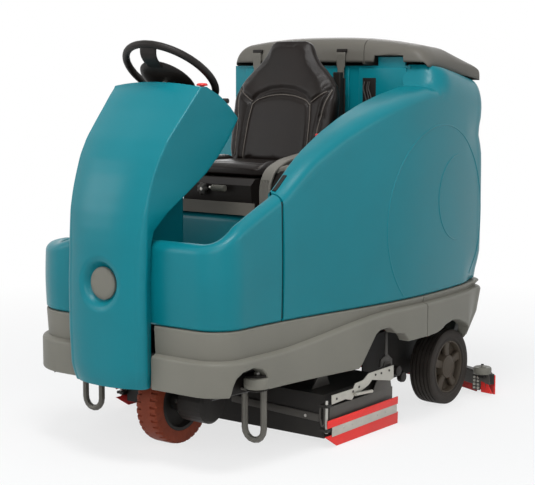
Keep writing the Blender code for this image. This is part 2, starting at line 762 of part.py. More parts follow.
def instrument_panel():
    """Dash between the flanges, bored for the column and the stop button."""
    side = [(-0.635, 1.242), (-0.635, 1.268), (-0.605, 1.283), (-0.470, 1.212), (-0.458, 1.190),
            (-0.470, 1.172), (-0.605, 1.225)]
    panel = flat("instrument_panel", [side], "YZ", -0.190, 0.190, dark())
    middle = steer_middle()
    cut_bar(panel, 0.018, middle, middle - 0.3 * steer_axis(), 20)
    x, y = STOP_XY
    cut_bar(panel, STOP_R + GAP, (x, y, 1.250), (x, y, 1.4), 24)


def stop_button():
    x, y = STOP_XY
    cap = [(0.0, 1.300), (STOP_R - 0.004, 1.300), (STOP_R, 1.296), (STOP_R, 1.256), (0.0, 1.256)]
    turned("stop_button", [(r, z - 1.27) for r, z in cap], (x, y, 1.27), "Z", red_rubber(), 24)


def steering_column():
    top = steer_middle() - 0.030 * steer_axis()
    knee = steer_middle() - 0.165 * steer_axis()
    points = [top, knee, (0.0, -0.705, 1.120), (0.0, -0.708, 0.800), (0.0, -0.708, 0.505)]
    tube("steering_column", points, 0.015, black_steel(), 3)


def steering_wheel():
    """Three-spoked wheel: a round rim, flat spokes and a hub, square to the tilted column."""
    steps = 28
    rim = [(STEER_WHEEL_R * cos(2 * pi * i / steps), STEER_WHEEL_R * sin(2 * pi * i / steps), 0.0)
           for i in range(steps)]
    wheel = tube("steering_wheel", rim, STEER_RIM_R, dark(), 2, True)
    add_bar(wheel, 0.034, (0, 0, -0.0295), (0, 0, 0.006), 24)
    for turn in (0, 130, 230):
        spoke = box("spoke", (-0.014, 0.02, -0.012), (0.014, STEER_WHEEL_R, -0.002), None, CUTTERS)
        spoke.data.transform(Matrix.Rotation(radians(turn + 180), 4, "Z"))
        combine(wheel, spoke, "UNION")
    place = Matrix.Translation(steer_middle()) @ Matrix.Rotation(-STEER_TILT, 4, "X")
    for step in wheel.modifiers:
        step.object.matrix_world = place
    wheel.matrix_world = place


def direction_lever():
    """Small lever through the left edge of the dash."""
    lever = bar("direction_lever", 0.005, LEVER_PIN, (0.182, -0.478, 1.254), dark())
    knob = bar("knob", 0.0085, (0.176, -0.484, 1.2487), (0.190, -0.470, 1.2612), None, CUTTERS)
    combine(lever, knob, "UNION")
    at_origin(lever, *LEVER_PIN)


def pedal(name, left, right):
    """Plate that leans forward from its hinge on the floor."""
    side = [(-0.662, 0.503), (-0.655, 0.511), (-0.765, 0.577), (-0.771, 0.569)]
    at_origin(flat(name, [side], "YZ", left, right, dark()), (left + right) / 2, *PEDAL_HINGE)


# Wheels

def tyre(name, x, y, width, rim_radius, material):
    half, edge = width / 2, 0.006
    ring = [(WHEEL_R - edge, half), (WHEEL_R, half - edge), (WHEEL_R, edge - half),
            (WHEEL_R - edge, -half), (rim_radius + GAP, -half), (rim_radius + GAP, half)]
    turned(name, ring, (x, y, WHEEL_R), "X", material, 40, True)


def rim(name, x, y, width, radius, bore, material):
    half = width / 2 - 0.004
    web, hub = 0.012, 0.034
    ring = [(radius, half), (radius, -half), (bore, -half), (bore, half), (hub, half), (hub, web),
            (radius - 0.012, web), (radius - 0.012, half)]
    if x < 0:
        ring = [(r, -h) for r, h in ring[::-1]]
    turned(name, ring, (x, y, WHEEL_R), "X", material, 28, True)


def drive_unit():
    """Steered fork with a kingpin above and the wheel's axle below; a hub motor on its left."""
    half = DRIVE_TYRE_W / 2 + FORK_GAP
    out = half + FORK_THICK
    crown = (0.3085, 0.3250)
    fork = box("steering_fork", (-out, DRIVE_Y - 0.06, crown[0]), (out, DRIVE_Y + 0.06, crown[1]),
               black_steel())
    for side in (-1, 1):
        a, b = sorted((side * half, side * out))
        add_box(fork, (a, DRIVE_Y - 0.03, WHEEL_R - 0.03), (b, DRIVE_Y + 0.03, crown[1] - 0.004))
    add_bar(fork, AXLE_R, (-half - 0.006, DRIVE_Y, WHEEL_R), (half + 0.006, DRIVE_Y, WHEEL_R))
    add_bar(fork, KINGPIN_R, (0, DRIVE_Y, crown[1] - 0.01), (0, DRIVE_Y, 0.400), 32)
    at_origin(fork, 0, DRIVE_Y, WHEEL_R)
    shell = [(0.0, 0.190), (0.060, 0.190), (0.070, 0.180), (0.070, out + 0.012), (0.055, out + GAP),
             (0.0, out + GAP)]
    turned("drive_motor", shell, (0, DRIVE_Y, WHEEL_R + 0.010), "X", black_steel(), 24)
    tyre("drive_tyre", 0.0, DRIVE_Y, DRIVE_TYRE_W, DRIVE_RIM_R, drive_rubber())
    rim("drive_rim", 0.0, DRIVE_Y, DRIVE_TYRE_W, DRIVE_RIM_R, AXLE_R + 0.0006, steel())


def rear_wheels():
    for word, side in (("left", 1), ("right", -1)):
        x = side * REAR_TYRE_X
        tyre(word + "_rear_tyre", x, REAR_AXLE_Y, REAR_TYRE_W, REAR_RIM_R, rubber())
        rim(word + "_rear_rim", x, REAR_AXLE_Y, REAR_TYRE_W, REAR_RIM_R, AXLE_R + 0.0006, grey())


# Seat

def seat_deck():
    """Folded steel tray over the battery bay, hinged along its front edge."""
    low, high = DECK_LOW, DECK_LOW + DECK_THICK
    deck = box("seat_deck", (-DECK_HALF, DECK_FRONT_Y, low), (DECK_HALF, DECK_REAR_Y, high), grey())
    lip = low + DECK_LIP
    add_box(deck, (-DECK_HALF, DECK_FRONT_Y, low + 0.002), (DECK_HALF, DECK_FRONT_Y + 0.006, lip))
    for side in (-1, 1):
        a, b = sorted((side * DECK_HALF, side * (DECK_HALF - 0.006)))
        add_box(deck, (a, DECK_FRONT_Y, low + 0.002), (b, DECK_REAR_Y, low + 0.028))
    at_origin(deck, 0, DECK_FRONT_Y, low)


def belt_post():
    foot = DECK_LOW + DECK_THICK + GAP
    post = box("belt_post", (0.112, 0.270, foot), (0.146, 0.296, 1.335), dark())
    round_edges(post, 0.004)
    at_origin(post, 0, DECK_FRONT_Y, DECK_LOW)


def seat():
    low = DECK_LOW + DECK_THICK + GAP
    side = [(-0.318, low), (-0.326, 0.925), (-0.300, CUSHION_LOW - GAP - 0.002),
            (0.115, CUSHION_LOW - GAP - 0.002), (0.120, low)]
    flat("seat_base", [side], "YZ", -0.160, 0.165, black_steel())
    z = CUSHION_LOW - 0.002
    half = [(0.225, z), (SEAT_HALF, z + 0.015), (SEAT_HALF, 1.020), (0.215, 1.040), (0.185, 1.036),
            (0.140, CUSHION_TOP + 0.004)]
    face = half + mirrored(half)[::-1]
    flat("seat_cushion", [face], "XZ", SEAT_FRONT_Y, 0.015, vinyl())


def backrest():
    """Contoured back: wide at the shoulders, narrow at the head, leaning with the seat."""
    levels = ((0.972, 0.195, 0.044), (0.990, 0.222, 0.050), (1.100, 0.235, 0.050),
              (1.240, 0.235, 0.044), (1.290, 0.230, 0.040), (1.335, 0.185, 0.034),
              (1.385, 0.132, 0.030), (1.430, 0.110, 0.028), (1.452, 0.085, 0.020))
    rings = []
    for z, half, thick in levels:
        middle = 0.028 + 0.238 * (z - 1.0) + thick
        ring = []
        for i in range(20):
            a = 2 * pi * i / 20
            x = abs(cos(a)) ** 0.5 * (1 if cos(a) >= 0 else -1)
            y = abs(sin(a)) ** 0.5 * (1 if sin(a) >= 0 else -1)
            ring.append((half * x, middle + thick * y, z))
        rings.append(ring)
    back = loft("seat_backrest", rings, vinyl())
    at_origin(back, 0, *RECLINE)


def seat_controls():
    knob = [(0.0, 0.018), (0.016, 0.018), (0.021, 0.012), (0.021, 0.004), (0.010, GAP), (0.0, GAP)]
    turned("seat_knob", [(r, -h) for r, h in knob[::-1]], SEAT_KNOB, "Y", dark(), 20)
    x, y, z = SEAT_LEVER
    lever = box("seat_lever", (x, y - 0.010, z - 0.006), (x + 0.070, y, z + 0.006), grey())
    round_edges(lever, 0.003)
    at_origin(lever, x, y, z)


# Lids

def lid_ring(x, skin, drop):
    """Side outline of a lid at x: crowned across the machine and falling to the rear."""
    sag = 0.048 * (abs(x) / 0.5) ** 2.4
    front, rear = LID_FRONT_Y + skin, LID_REAR_Y - skin
    low_front, low_rear = LID_LOW_FRONT - drop, LID_LOW_REAR - drop
    top = LID_CROWN - skin - sag
    return [(x, front, low_front), (x, front, top - 0.040), (x, front + 0.022, top - 0.010),
            (x, front + 0.075, top), (x, front + 0.21, top - 0.012), (x, front + 0.32, top - 0.042),
            (x, rear - 0.025, top - 0.066), (x, rear, top - 0.092), (x, rear, low_rear)]


def end_ring(x, skin, drop, inward):
    """The same outline shrunk towards its lower edge, which rounds a lid's free end."""
    ring = lid_ring(x, skin, drop)
    return [(px, py, min(pz, LID_LOW_FRONT + (pz - LID_LOW_FRONT) * inward)
             if pz > LID_LOW_FRONT else pz) for px, py, pz in ring]


def lid(name, left_end, right_end, free_right):
    """Hollow lid between two x values; its free end is rounded down."""
    rings, hollow = [], []
    steps = 6
    for i in range(steps + 1):
        x = left_end + (right_end - left_end) * i / steps
        free = (i == steps and free_right) or (i == 0 and not free_right)
        rings.append(end_ring(x, 0.0, 0.0, 0.45) if free else lid_ring(x, 0.0, 0.0))
        pull = (LID_SKIN if i == 0 else 0.0) - (LID_SKIN if i == steps else 0.0)
        inner = end_ring(x + pull, LID_SKIN, 0.05, 0.38) if free else lid_ring(x + pull, LID_SKIN, 0.05)
        hollow.append(inner)
    cover = loft(name, rings, grey())
    combine(cover, loft(name + "_hollow", hollow, None, CUTTERS), "DIFFERENCE")
    return cover


def lids():
    y, z = LID_HINGE
    right = lid("recovery_lid", LID_RIGHT_X, LID_SPLIT_X - SEAM / 2, False)
    left = lid("solution_lid", LID_SPLIT_X + SEAM / 2, LID_LEFT_X, True)
    cut_box(left, (0.262, 0.30, 1.2), (0.398, TANK_FRONT_Y + 0.02, 1.400))
    for cover, spans in ((right, ((-0.40, -0.30), (0.02, 0.12))), (left, ((0.20, 0.26), (0.40, 0.46)))):
        for a, b in spans:
            add_bar(cover, 0.0085, (a, y, z), (b, y, z), 20)
            add_box(cover, (a, LID_REAR_Y - LID_SKIN, z - 0.005), (b, y, z + 0.005))
        cut_bar(cover, 0.0046, (-0.6, y, z), (0.6, y, z), 16)
        at_origin(cover, 0, y, z)


def latch(name, x):
    """Rubber strap that hooks over the lid's front edge."""
    half = 0.0175
    strap = box(name, (x - half, 0.3245, 1.308), (x + half, 0.3320, 1.428), dark())
    add_box(strap, (x - half, 0.330, 1.307), (x + half, 0.353, 1.321))
    at_origin(strap, x, *LATCH_PIVOT)


# Scrub head

def lift_arm():
    """Two arms on a cross shaft that carry the scrub head."""
    y, z = LIFT_PIVOT
    arm = bar("lift_arm", 0.010, (-ARM_X - 0.024, y, z), (ARM_X + 0.024, y, z), black_steel())
    hy, hz = HEAD_PIVOT
    run = atan2(hz - z, hy - y)
    along = (0.014 * cos(run), 0.014 * sin(run))
    across = (-0.013 * sin(run), 0.013 * cos(run))
    plate = [(y - along[0] + across[0], z - along[1] + across[1]),
             (hy + along[0] + across[0], hz + along[1] + across[1]),
             (hy + along[0] - across[0], hz + along[1] - across[1]),
             (y - along[0] - across[0], z - along[1] - across[1])]
    for side in (-1, 1):
        a, b = sorted((side * (ARM_X - 0.007), side * (ARM_X + 0.007)))
        add_flat(arm, [plate], "YZ", a, b)
    cut_bar(arm, 0.0066, (-0.3, hy, hz), (0.3, hy, hz), 20)
    at_origin(arm, 0, y, z)


def scrub_head():
    """Deep steel deck over two brushes, with lugs for the arms and the side squeegees' pins."""
    wall = HEAD_WALL
    head = box("scrub_head", (-HEAD_HALF, HEAD_FRONT_Y, 0.030), (HEAD_HALF, HEAD_REAR_Y, HEAD_TOP),
               black_steel())
    cut_box(head, (wall - HEAD_HALF, HEAD_FRONT_Y + wall, 0.0),
            (HEAD_HALF - wall, HEAD_REAR_Y - wall, HEAD_TOP - wall))
    y, z = HEAD_PIVOT
    px, py = SIDE_PIN
    for side in (-1, 1):
        a, b = sorted((side * (ARM_X - 0.020), side * (ARM_X - 0.009)))
        add_box(head, (a, y - 0.022, HEAD_TOP - 0.003), (b, y + 0.022, z + 0.012))
        add_bar(head, 0.006, (side * (ARM_X - 0.018), y, z), (side * (ARM_X + 0.010), y, z), 16)
        for low in (0.060, 0.150):
            a, b = sorted((side * (HEAD_HALF - 0.003), side * (px + 0.012)))
            add_box(head, (a, py - 0.013, low), (b, py + 0.016, low + 0.010))
            cut_bar(head, 0.0066, (side * px, py, low - 0.005), (side * px, py, low + 0.015), 16)
    at_origin(head, 0, y, z)


def brush(name, y):
    reach = HEAD_HALF - HEAD_WALL - GAP
    side = [(0.0, reach), (0.012, reach), (0.012, BRUSH_HALF), (BRUSH_R, BRUSH_HALF),
            (BRUSH_R, -BRUSH_HALF), (0.012, -BRUSH_HALF), (0.012, -reach), (0.0, -reach)]
    turned(name, side, (0, y, BRUSH_R + FLOOR_CLEAR), "X", bristle(), 28)


def side_squeegee(word, side):
    """Steel arm on an upright pin with a red blade along its outer face."""
    px, py = SIDE_PIN
    x = side * px
    arm = bar(word + "_side_arm", 0.006, (x, py, 0.054), (x, py, 0.172), steel(), None, 16)
    a, b = sorted((x - side * 0.005, x + side * 0.005))
    add_box(arm, (a, py, 0.0720), (b, py + SIDE_LEN, 0.1480))
    y0, z0 = py + 0.09, 0.145
    web = [(py + 0.02, 0.146), (py + 0.02, z0 + 0.010), (y0 + 0.04, z0 + 0.012), (y0 + 0.10, 0.185),
           (y0 + 0.30, 0.195), (y0 + 0.30, 0.146)]
    add_flat(arm, [web], "YZ", a, b)
    at_origin(arm, x, py, 0.1)
    near, far = x + side * (0.005 + GAP), x + side * 0.0125
    a, b = sorted((near, far))
    blade = box(word + "_side_blade", (a, py + 0.020, FLOOR_CLEAR), (b, py + SIDE_LEN, 0.112),
                red_rubber())
    at_origin(blade, x, py, 0.1)


# Rear squeegee

def squeegee_path(reach):
    middle = SQUEEGEE_REAR_Y - FRAME_HALF - GAP - BLADE_THICK
    bow = middle - SQUEEGEE_END_Y
    count = 16
    xs = [reach - 2 * reach * i / count for i in range(count + 1)]
    return [(x, middle - bow * (x / SQUEEGEE_HALF) ** 2) for x in xs]


def rear_squeegee():
    """Bowed frame on a swivel under its lift arm, a blade on each face and a roller at each end."""
    hy, hz = SQUEEGEE_HINGE
    arm = bar("squeegee_arm", 0.006, (-0.064, hy, hz), (0.064, hy, hz), black_steel(), None, 16)
    add_box(arm, (-0.045, hy - 0.008, 0.150), (0.045, hy + 0.008, hz))
    add_box(arm, (-0.035, hy, 0.146), (0.035, SQUEEGEE_PIVOT_Y + 0.030, 0.158))
    add_bar(arm, 0.010, (0, SQUEEGEE_PIVOT_Y, 0.092), (0, SQUEEGEE_PIVOT_Y, 0.150), 20)
    at_origin(arm, 0, hy, hz)
    path = squeegee_path(SQUEEGEE_HALF)
    frame = flat("squeegee_frame", [band(path, FRAME_HALF, FRAME_HALF)], "XY", 0.045, 0.088,
                 black_steel())
    add_box(frame, (-0.050, SQUEEGEE_PIVOT_Y - 0.03, 0.084), (0.050, path[8][1], 0.096))
    add_bar(frame, 0.020, (0, SQUEEGEE_PIVOT_Y, 0.086), (0, SQUEEGEE_PIVOT_Y, 0.140), 24)
    cut_bar(frame, 0.0105, (0, SQUEEGEE_PIVOT_Y, 0.0), (0, SQUEEGEE_PIVOT_Y, 0.2), 20)
    for side in (-1, 1):
        x, y = ROLLER_X * side, ROLLER_Y
        add_box(frame, (x - 0.014, y - 0.012, 0.080), (x + 0.014, SQUEEGEE_END_Y + 0.02, 0.092))
        add_bar(frame, 0.006, (x, y, 0.085), (x, y, 0.136), 16)
    gap = FRAME_HALF + GAP
    rear = band(inset(path, -gap), BLADE_THICK, 0.0)
    front = band(inset(path[1:-1], gap), 0.0, BLADE_THICK)
    back = flat("rear_blade", [rear], "XY", FLOOR_CLEAR, 0.082, red_rubber())
    fore = flat("front_blade", [front], "XY", FLOOR_CLEAR, 0.076, red_rubber())
    for piece in (frame, back, fore):
        at_origin(piece, 0, SQUEEGEE_PIVOT_Y, SWIVEL_Z)
    for word, side in (("left", 1), ("right", -1)):
        ring = [(0.038, 0.015), (0.038, -0.015), (0.0066, -0.015), (0.0066, 0.015)]
        turned(word + "_squeegee_roller", ring, (side * ROLLER_X, ROLLER_Y, SWIVEL_Z), "Z", grey(), 24,
               True)


def build():
    main_frame()
    for word, side in (("left", 1), ("right", -1)):
        tie_down(word + "_tie_down", side)
        corner_roller(word + "_corner_roller", side)
        side_skirt(word + "_skirt", side)
        side_squeegee(word, side)
    battery_pack()
    vacuum_fan()
    front_shell()
    solution_tank()
    recovery_tank()
    rear_skirt()
    front_shroud()
    badge()
    floor_plate()
    column_cover()
    side_console()
    belt_buckle()
    instrument_panel()
    stop_button()
    steering_column()
    steering_wheel()
    direction_lever()
    pedal("throttle_pedal", *THROTTLE_X)
    pedal("brake_pedal", *BRAKE_X)
    drive_unit()
    rear_wheels()
    seat_deck()
    belt_post()
    seat()
    backrest()
    seat_controls()
    lids()
    latch("right_latch", LATCH_X[0])
    latch("left_latch", LATCH_X[1])
    lift_arm()
    scrub_head()
    brush("front_brush", BRUSH_Y[0])
    brush("rear_brush", BRUSH_Y[1])
    rear_squeegee()


build()
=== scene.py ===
"""Ride-on floor scrubber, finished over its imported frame.  Metres, +Z up, the front towards -Y."""

import bmesh
import bpy
import numpy as np
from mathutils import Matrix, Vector
from numpy import (array, clip, concatenate, cos, exp, interp, linspace, maximum, minimum, pi,
    radians, sin, sqrt, stack, where)


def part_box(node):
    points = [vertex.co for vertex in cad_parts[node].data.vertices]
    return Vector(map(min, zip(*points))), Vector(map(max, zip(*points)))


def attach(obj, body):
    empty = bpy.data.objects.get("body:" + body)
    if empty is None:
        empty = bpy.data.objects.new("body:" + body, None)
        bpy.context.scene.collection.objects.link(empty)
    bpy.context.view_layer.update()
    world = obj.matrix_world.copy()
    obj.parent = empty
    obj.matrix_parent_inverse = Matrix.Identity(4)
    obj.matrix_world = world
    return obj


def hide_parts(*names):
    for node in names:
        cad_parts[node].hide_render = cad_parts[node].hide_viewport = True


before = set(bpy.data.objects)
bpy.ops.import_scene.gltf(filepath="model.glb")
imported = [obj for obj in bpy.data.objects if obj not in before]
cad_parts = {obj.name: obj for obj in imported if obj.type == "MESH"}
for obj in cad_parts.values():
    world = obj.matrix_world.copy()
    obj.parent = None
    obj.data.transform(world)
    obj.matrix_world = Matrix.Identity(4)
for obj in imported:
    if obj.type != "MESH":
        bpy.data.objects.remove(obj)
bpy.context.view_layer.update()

# Studio.  A long lens stands front left of the machine, a little above the seat, and the
# machine stands on a pale floor under large soft lamps.
scene = bpy.context.scene
scene.view_settings.view_transform = "Standard"
camera = bpy.data.objects.new("camera", bpy.data.cameras.new("camera"))
scene.collection.objects.link(camera)
camera.data.lens = 94.45
camera.data.sensor_width = 36.0
camera.location = (3.29796, -4.33758, 1.35028)
camera.rotation_euler = (radians(90 - 7.0795), 0.0, radians(37.303))
scene.camera = camera


def lamp(name, place, aim, size, power):
    """A square soft lamp at place that faces aim."""
    light = bpy.data.lights.new(name, "AREA")
    light.size = size
    light.energy = power
    holder = bpy.data.objects.new(name, light)
    scene.collection.objects.link(holder)
    holder.location = place
    holder.rotation_euler = (Vector(aim) - Vector(place)).to_track_quat("-Z", "Y").to_euler()


lamp("overhead", (0.9, -1.7, 4.0), (0.0, 0.0, 0.6), 1.3, 82.0)
lamp("front_left", (2.6, -4.4, 2.9), (0.1, -0.2, 0.7), 3.2, 92.0)
lamp("front_right", (-3.0, -3.4, 2.2), (0.0, -0.6, 0.8), 1.8, 34.0)
lamp("side", (4.8, 1.2, 2.2), (0.3, 0.3, 0.6), 2.6, 40.0)
lamp("behind", (-2.4, 4.0, 2.6), (0.0, 0.3, 0.8), 2.2, 30.0)


def node(tree, kind, operation=None, **feeds):
    """Adds a shader node.  Each feed is a socket to link or a value, under its input's name, with
    _ for a space, or under in_ and the input's number."""
    made = tree.nodes.new("ShaderNode" + kind)
    if operation:
        made.operation = operation
    for name, feed in feeds.items():
        entry = made.inputs[int(name[3:]) if name.startswith("in_") else name.replace("_", " ")]
        if isinstance(feed, bpy.types.NodeSocket):
            tree.links.new(feed, entry)
        else:
            entry.default_value = feed
    return made


def white_where_seen(tree, shaded, seen, share):
    """Shows a flat white to camera, mirror and glass rays over the shaded one.  A share under 1
    rises to 1 between 1.2 and 3.6 m from the origin."""
    rays = node(tree, "LightPath").outputs
    first = node(tree, "Math", "MAXIMUM", in_0=rays["Is Camera Ray"], in_1=rays["Is Glossy Ray"])
    second = node(tree, "Math", "MAXIMUM", in_0=first.outputs[0], in_1=rays["Is Transmission Ray"])
    if share < 1.0:
        place = node(tree, "TexCoord").outputs["Object"]
        away = node(tree, "VectorMath", "LENGTH", in_0=place).outputs["Value"]
        share = node(tree, "MapRange", Value=away, From_Min=1.2, From_Max=3.6, To_Min=share,
            To_Max=1.0).outputs["Result"]
    scaled = node(tree, "Math", "MULTIPLY", in_0=second.outputs[0], in_1=share)
    return node(tree, "MixShader", in_0=scaled.outputs[0], in_1=shaded, in_2=seen).outputs[0]


world = bpy.data.worlds.new("studio")
world.use_nodes = True
scene.world = world
sky = world.node_tree
dim = sky.nodes["Background"]
dim.inputs["Color"].default_value = (0.8, 0.83, 0.86, 1.0)
dim.inputs["Strength"].default_value = 0.42
bright = sky.nodes.new("ShaderNodeBackground")
bright.inputs["Color"].default_value = (1.0, 1.0, 1.0, 1.0)
sky.links.new(white_where_seen(sky, dim.outputs[0], bright.outputs[0], 1.0),
    sky.nodes["World Output"].inputs["Surface"])

bpy.ops.mesh.primitive_plane_add(size=60.0)
floor = bpy.context.object
floor.name = "studio_floor"
paper = bpy.data.materials.new("pale_floor")
paper.use_nodes = True
paper_tree = paper.node_tree
paper_tree.nodes["Principled BSDF"].inputs["Base Color"].default_value = (0.86, 0.86, 0.86, 1.0)
paper_tree.nodes["Principled BSDF"].inputs["Roughness"].default_value = 0.9
glow = paper_tree.nodes.new("ShaderNodeEmission")
glow.inputs["Color"].default_value = (1.0, 1.0, 1.0, 1.0)
paper_tree.links.new(white_where_seen(paper_tree, paper_tree.nodes["Principled BSDF"].outputs[0],
    glow.outputs[0], 0.72), paper_tree.nodes["Material Output"].inputs["Surface"])
floor.data.materials.append(paper)


def surfaced(name, color, rough, grain=400.0, depth=0.0004, spread=0.12, patches=6.0,
        metallic=0.0, coat=0.0, dust=0.0):
    """A finish whose colour and gloss drift over the piece, with a fine grain and dust low down."""
    made = bpy.data.materials.new(name)
    made.use_nodes = True
    tree = made.node_tree
    shader = tree.nodes["Principled BSDF"]
    shader.inputs["Metallic"].default_value = metallic
    shader.inputs["Coat Weight"].default_value = coat
    shader.inputs["Coat Roughness"].default_value = 0.25
    shader.inputs["Specular IOR Level"].default_value = 0.17
    place = node(tree, "TexCoord").outputs["Object"]
    drift = node(tree, "TexNoise", Vector=place, Scale=patches, Detail=4.0).outputs["Fac"]
    shade = node(tree, "ValToRGB", Fac=drift)
    dark, light = shade.color_ramp.elements
    dark.position, light.position = 0.3, 0.7
    dark.color = (*[c * (1 - spread) for c in color], 1.0)
    light.color = (*[min(1.0, c * (1 + spread)) for c in color], 1.0)
    tone = shade.outputs["Color"]
    if dust:
        height = node(tree, "SeparateXYZ", in_0=place).outputs["Z"]
        low = node(tree, "MapRange", Value=height, From_Min=0.45, From_Max=0.0, To_Max=dust)
        speckle = node(tree, "Math", "MULTIPLY", in_0=low.outputs["Result"], in_1=drift)
        layer = node(tree, "Mix")
        layer.data_type = "RGBA"
        layer.inputs["B"].default_value = (0.32, 0.29, 0.25, 1.0)
        tree.links.new(speckle.outputs[0], layer.inputs["Factor"])
        tree.links.new(tone, layer.inputs["A"])
        tone = layer.outputs["Result"]
    tree.links.new(tone, shader.inputs["Base Color"])
    gloss = node(tree, "MapRange", Value=drift, To_Min=rough - 0.05, To_Max=rough + 0.07)
    tree.links.new(gloss.outputs["Result"], shader.inputs["Roughness"])
    fine = node(tree, "TexNoise", Vector=place, Scale=grain, Detail=3.0)
    relief = node(tree, "Bump", Height=fine.outputs["Fac"], Distance=depth, Strength=0.6)
    tree.links.new(relief.outputs["Normal"], shader.inputs["Normal"])
    return made


def dress(finish, *names):
    """Gives CAD nodes a finish."""
    for name in names:
        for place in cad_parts[name].material_slots:
            place.material = finish


powder_coat = surfaced("black_powder_coat", (0.0115, 0.0105, 0.01), 0.46, 700.0,
    0.0003, 0.25, dust=0.1)
bare_steel = surfaced("zinc_plate", (0.42, 0.41, 0.38), 0.36, 260.0, 0.0002, 0.12,
    14.0, metallic=0.85)
gunmetal = surfaced("gunmetal", (0.055, 0.052, 0.048), 0.42, 300.0, 0.0003,
    0.18, metallic=0.3, dust=0.2)
dress(powder_coat, "main_frame", "steering_fork", "drive_motor", "lift_arm",
    "scrub_head", "squeegee_arm", "squeegee_frame", "drive_rim")
dress(bare_steel, "left_side_arm", "right_side_arm", "steering_column")

# Batteries, fan, brushes and small mouldings.  Plain black cases, nylon bristles set round two
# cores, and one black moulded plastic for the fan, pedals, dash, latches and seat base.
battery_case = surfaced("battery_case", (0.03, 0.03, 0.032), 0.42, 500.0, 0.0003, 0.2)
nylon = surfaced("nylon_bristles", (0.07, 0.07, 0.078), 0.75, 900.0, 0.003, 0.5, 60.0)
black_moulding = surfaced("black_moulding", (0.013, 0.011, 0.0098), 0.44, 800.0,
    0.0004, 0.22)
dress(battery_case, "battery_pack")
dress(nylon, "front_brush", "rear_brush")
dress(black_moulding, "vacuum_fan", "throttle_pedal", "brake_pedal", "direction_lever",
    "belt_post", "left_latch", "right_latch", "side_console", "instrument_panel", "seat_base")


# Body panels.  The shell, wing and tank are rotationally moulded in teal polyethylene, so every
# edge is rounded and the wall stands in one piece round each corner.
def placed(name, made, mesh, finish, body, crease):
    """Turns a bmesh into a smooth object whose edges over crease degrees are sharp."""
    made.to_mesh(mesh)
    made.free()
    mesh.shade_smooth()
    mesh.set_sharp_from_angle(angle=radians(crease))
    mesh.materials.append(finish)
    piece = bpy.data.objects.new(name, mesh)
    scene.collection.objects.link(piece)
    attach(piece, body)
    return piece


def skin(name, rows, finish, body="chassis", around=True, along=False, caps=False,
        crease=40):
    """A surface through a grid of points (n, m, 3); around closes each row, along the columns."""
    n, m = rows.shape[:2]
    i = np.arange(n if along else n - 1)[:, None]
    j = np.arange(m if around else m - 1)[None, :]
    near, far = i * m, ((i + 1) % n) * m
    quads = stack([near + j, near + (j + 1) % m, far + (j + 1) % m, far + j], axis=-1)
    faces = quads.reshape(-1, 4).tolist()
    if caps:
        faces += [list(range(m - 1, -1, -1)), list(range((n - 1) * m, n * m))]
    mesh = bpy.data.meshes.new(name)
    mesh.from_pydata(rows.reshape(-1, 3).tolist(), [], faces)
    made = bmesh.new()
    made.from_mesh(mesh)
    bmesh.ops.remove_doubles(made, verts=made.verts, dist=0.00005)
    bmesh.ops.recalc_face_normals(made, faces=made.faces)
    return placed(name, made, mesh, finish, body, crease)


teal_poly = surfaced("teal_polyethylene", (0.001, 0.163, 0.2), 0.36, 620.0,
    0.00035, 0.06, 2.5, coat=0.14)
grey_poly = surfaced("grey_moulding", (0.176, 0.17, 0.144), 0.46, 520.0, 0.0004,
    0.06, 3.0)


BODY_LOW = 0.4915
BAY_TOP = 0.8196
FRONT_Y = -0.86
REAR_Y = 0.8
WALL = 0.055
SIDES = (("left", 1), ("right", -1))


def half_width(y):
    """Half width of the body at y: a raised cosine out to the widest place, then a parabola in."""
    rising = 0.462 + 0.105 * (0.5 - 0.5 * cos(pi * clip((y + 0.74) / 0.97, 0, 1)))
    return where(y <= 0.23, rising, 0.567 - 0.037 * ((y - 0.23) / 0.47) ** 2)


def length_along(*axes):
    """Length along a polyline, given by its columns, up to each of its points."""
    return concatenate([[0], np.cumsum(np.linalg.norm(np.diff(axes, axis=1), axis=0))])


def averaged(line, passes):
    """Takes passes of a running mean of three along a line, in place; its ends stay."""
    for _ in range(passes):
        line[1:-1] = (line[:-2] + line[1:-1] + line[2:]) / 3


def outline(corner=0.115, step=0.012):
    """Plan of the left half from the shroud to the middle of the rear: straight, arc of the given
    corner radius, side, arc."""
    a = radians(linspace(-90, 0, 19))
    b = radians(linspace(0, 90, 19))
    side = linspace(FRONT_Y + corner + 0.01, 0.695, 120)
    x = concatenate([[0.168], 0.462 - corner + corner * cos(a), half_width(side), 0.43 + 0.1 * cos(b),
        [0]])
    y = concatenate([[FRONT_Y], FRONT_Y + corner + corner * sin(a), side, 0.7 + 0.1 * sin(b), [REAR_Y]])
    run = length_along(x, y)
    even = linspace(0, run[-1], int(run[-1] / step))
    return stack([interp(even, run, x), interp(even, run, y)], axis=1)


def unit(rows):
    """Rows scaled to length 1."""
    return rows / np.linalg.norm(rows, axis=1)[:, None]


def inward(path):
    """Unit normals of a path, pointing to its left, which is into the body."""
    slope = unit(np.gradient(path, axis=0))
    return stack([-slope[:, 1], slope[:, 0]], axis=1)


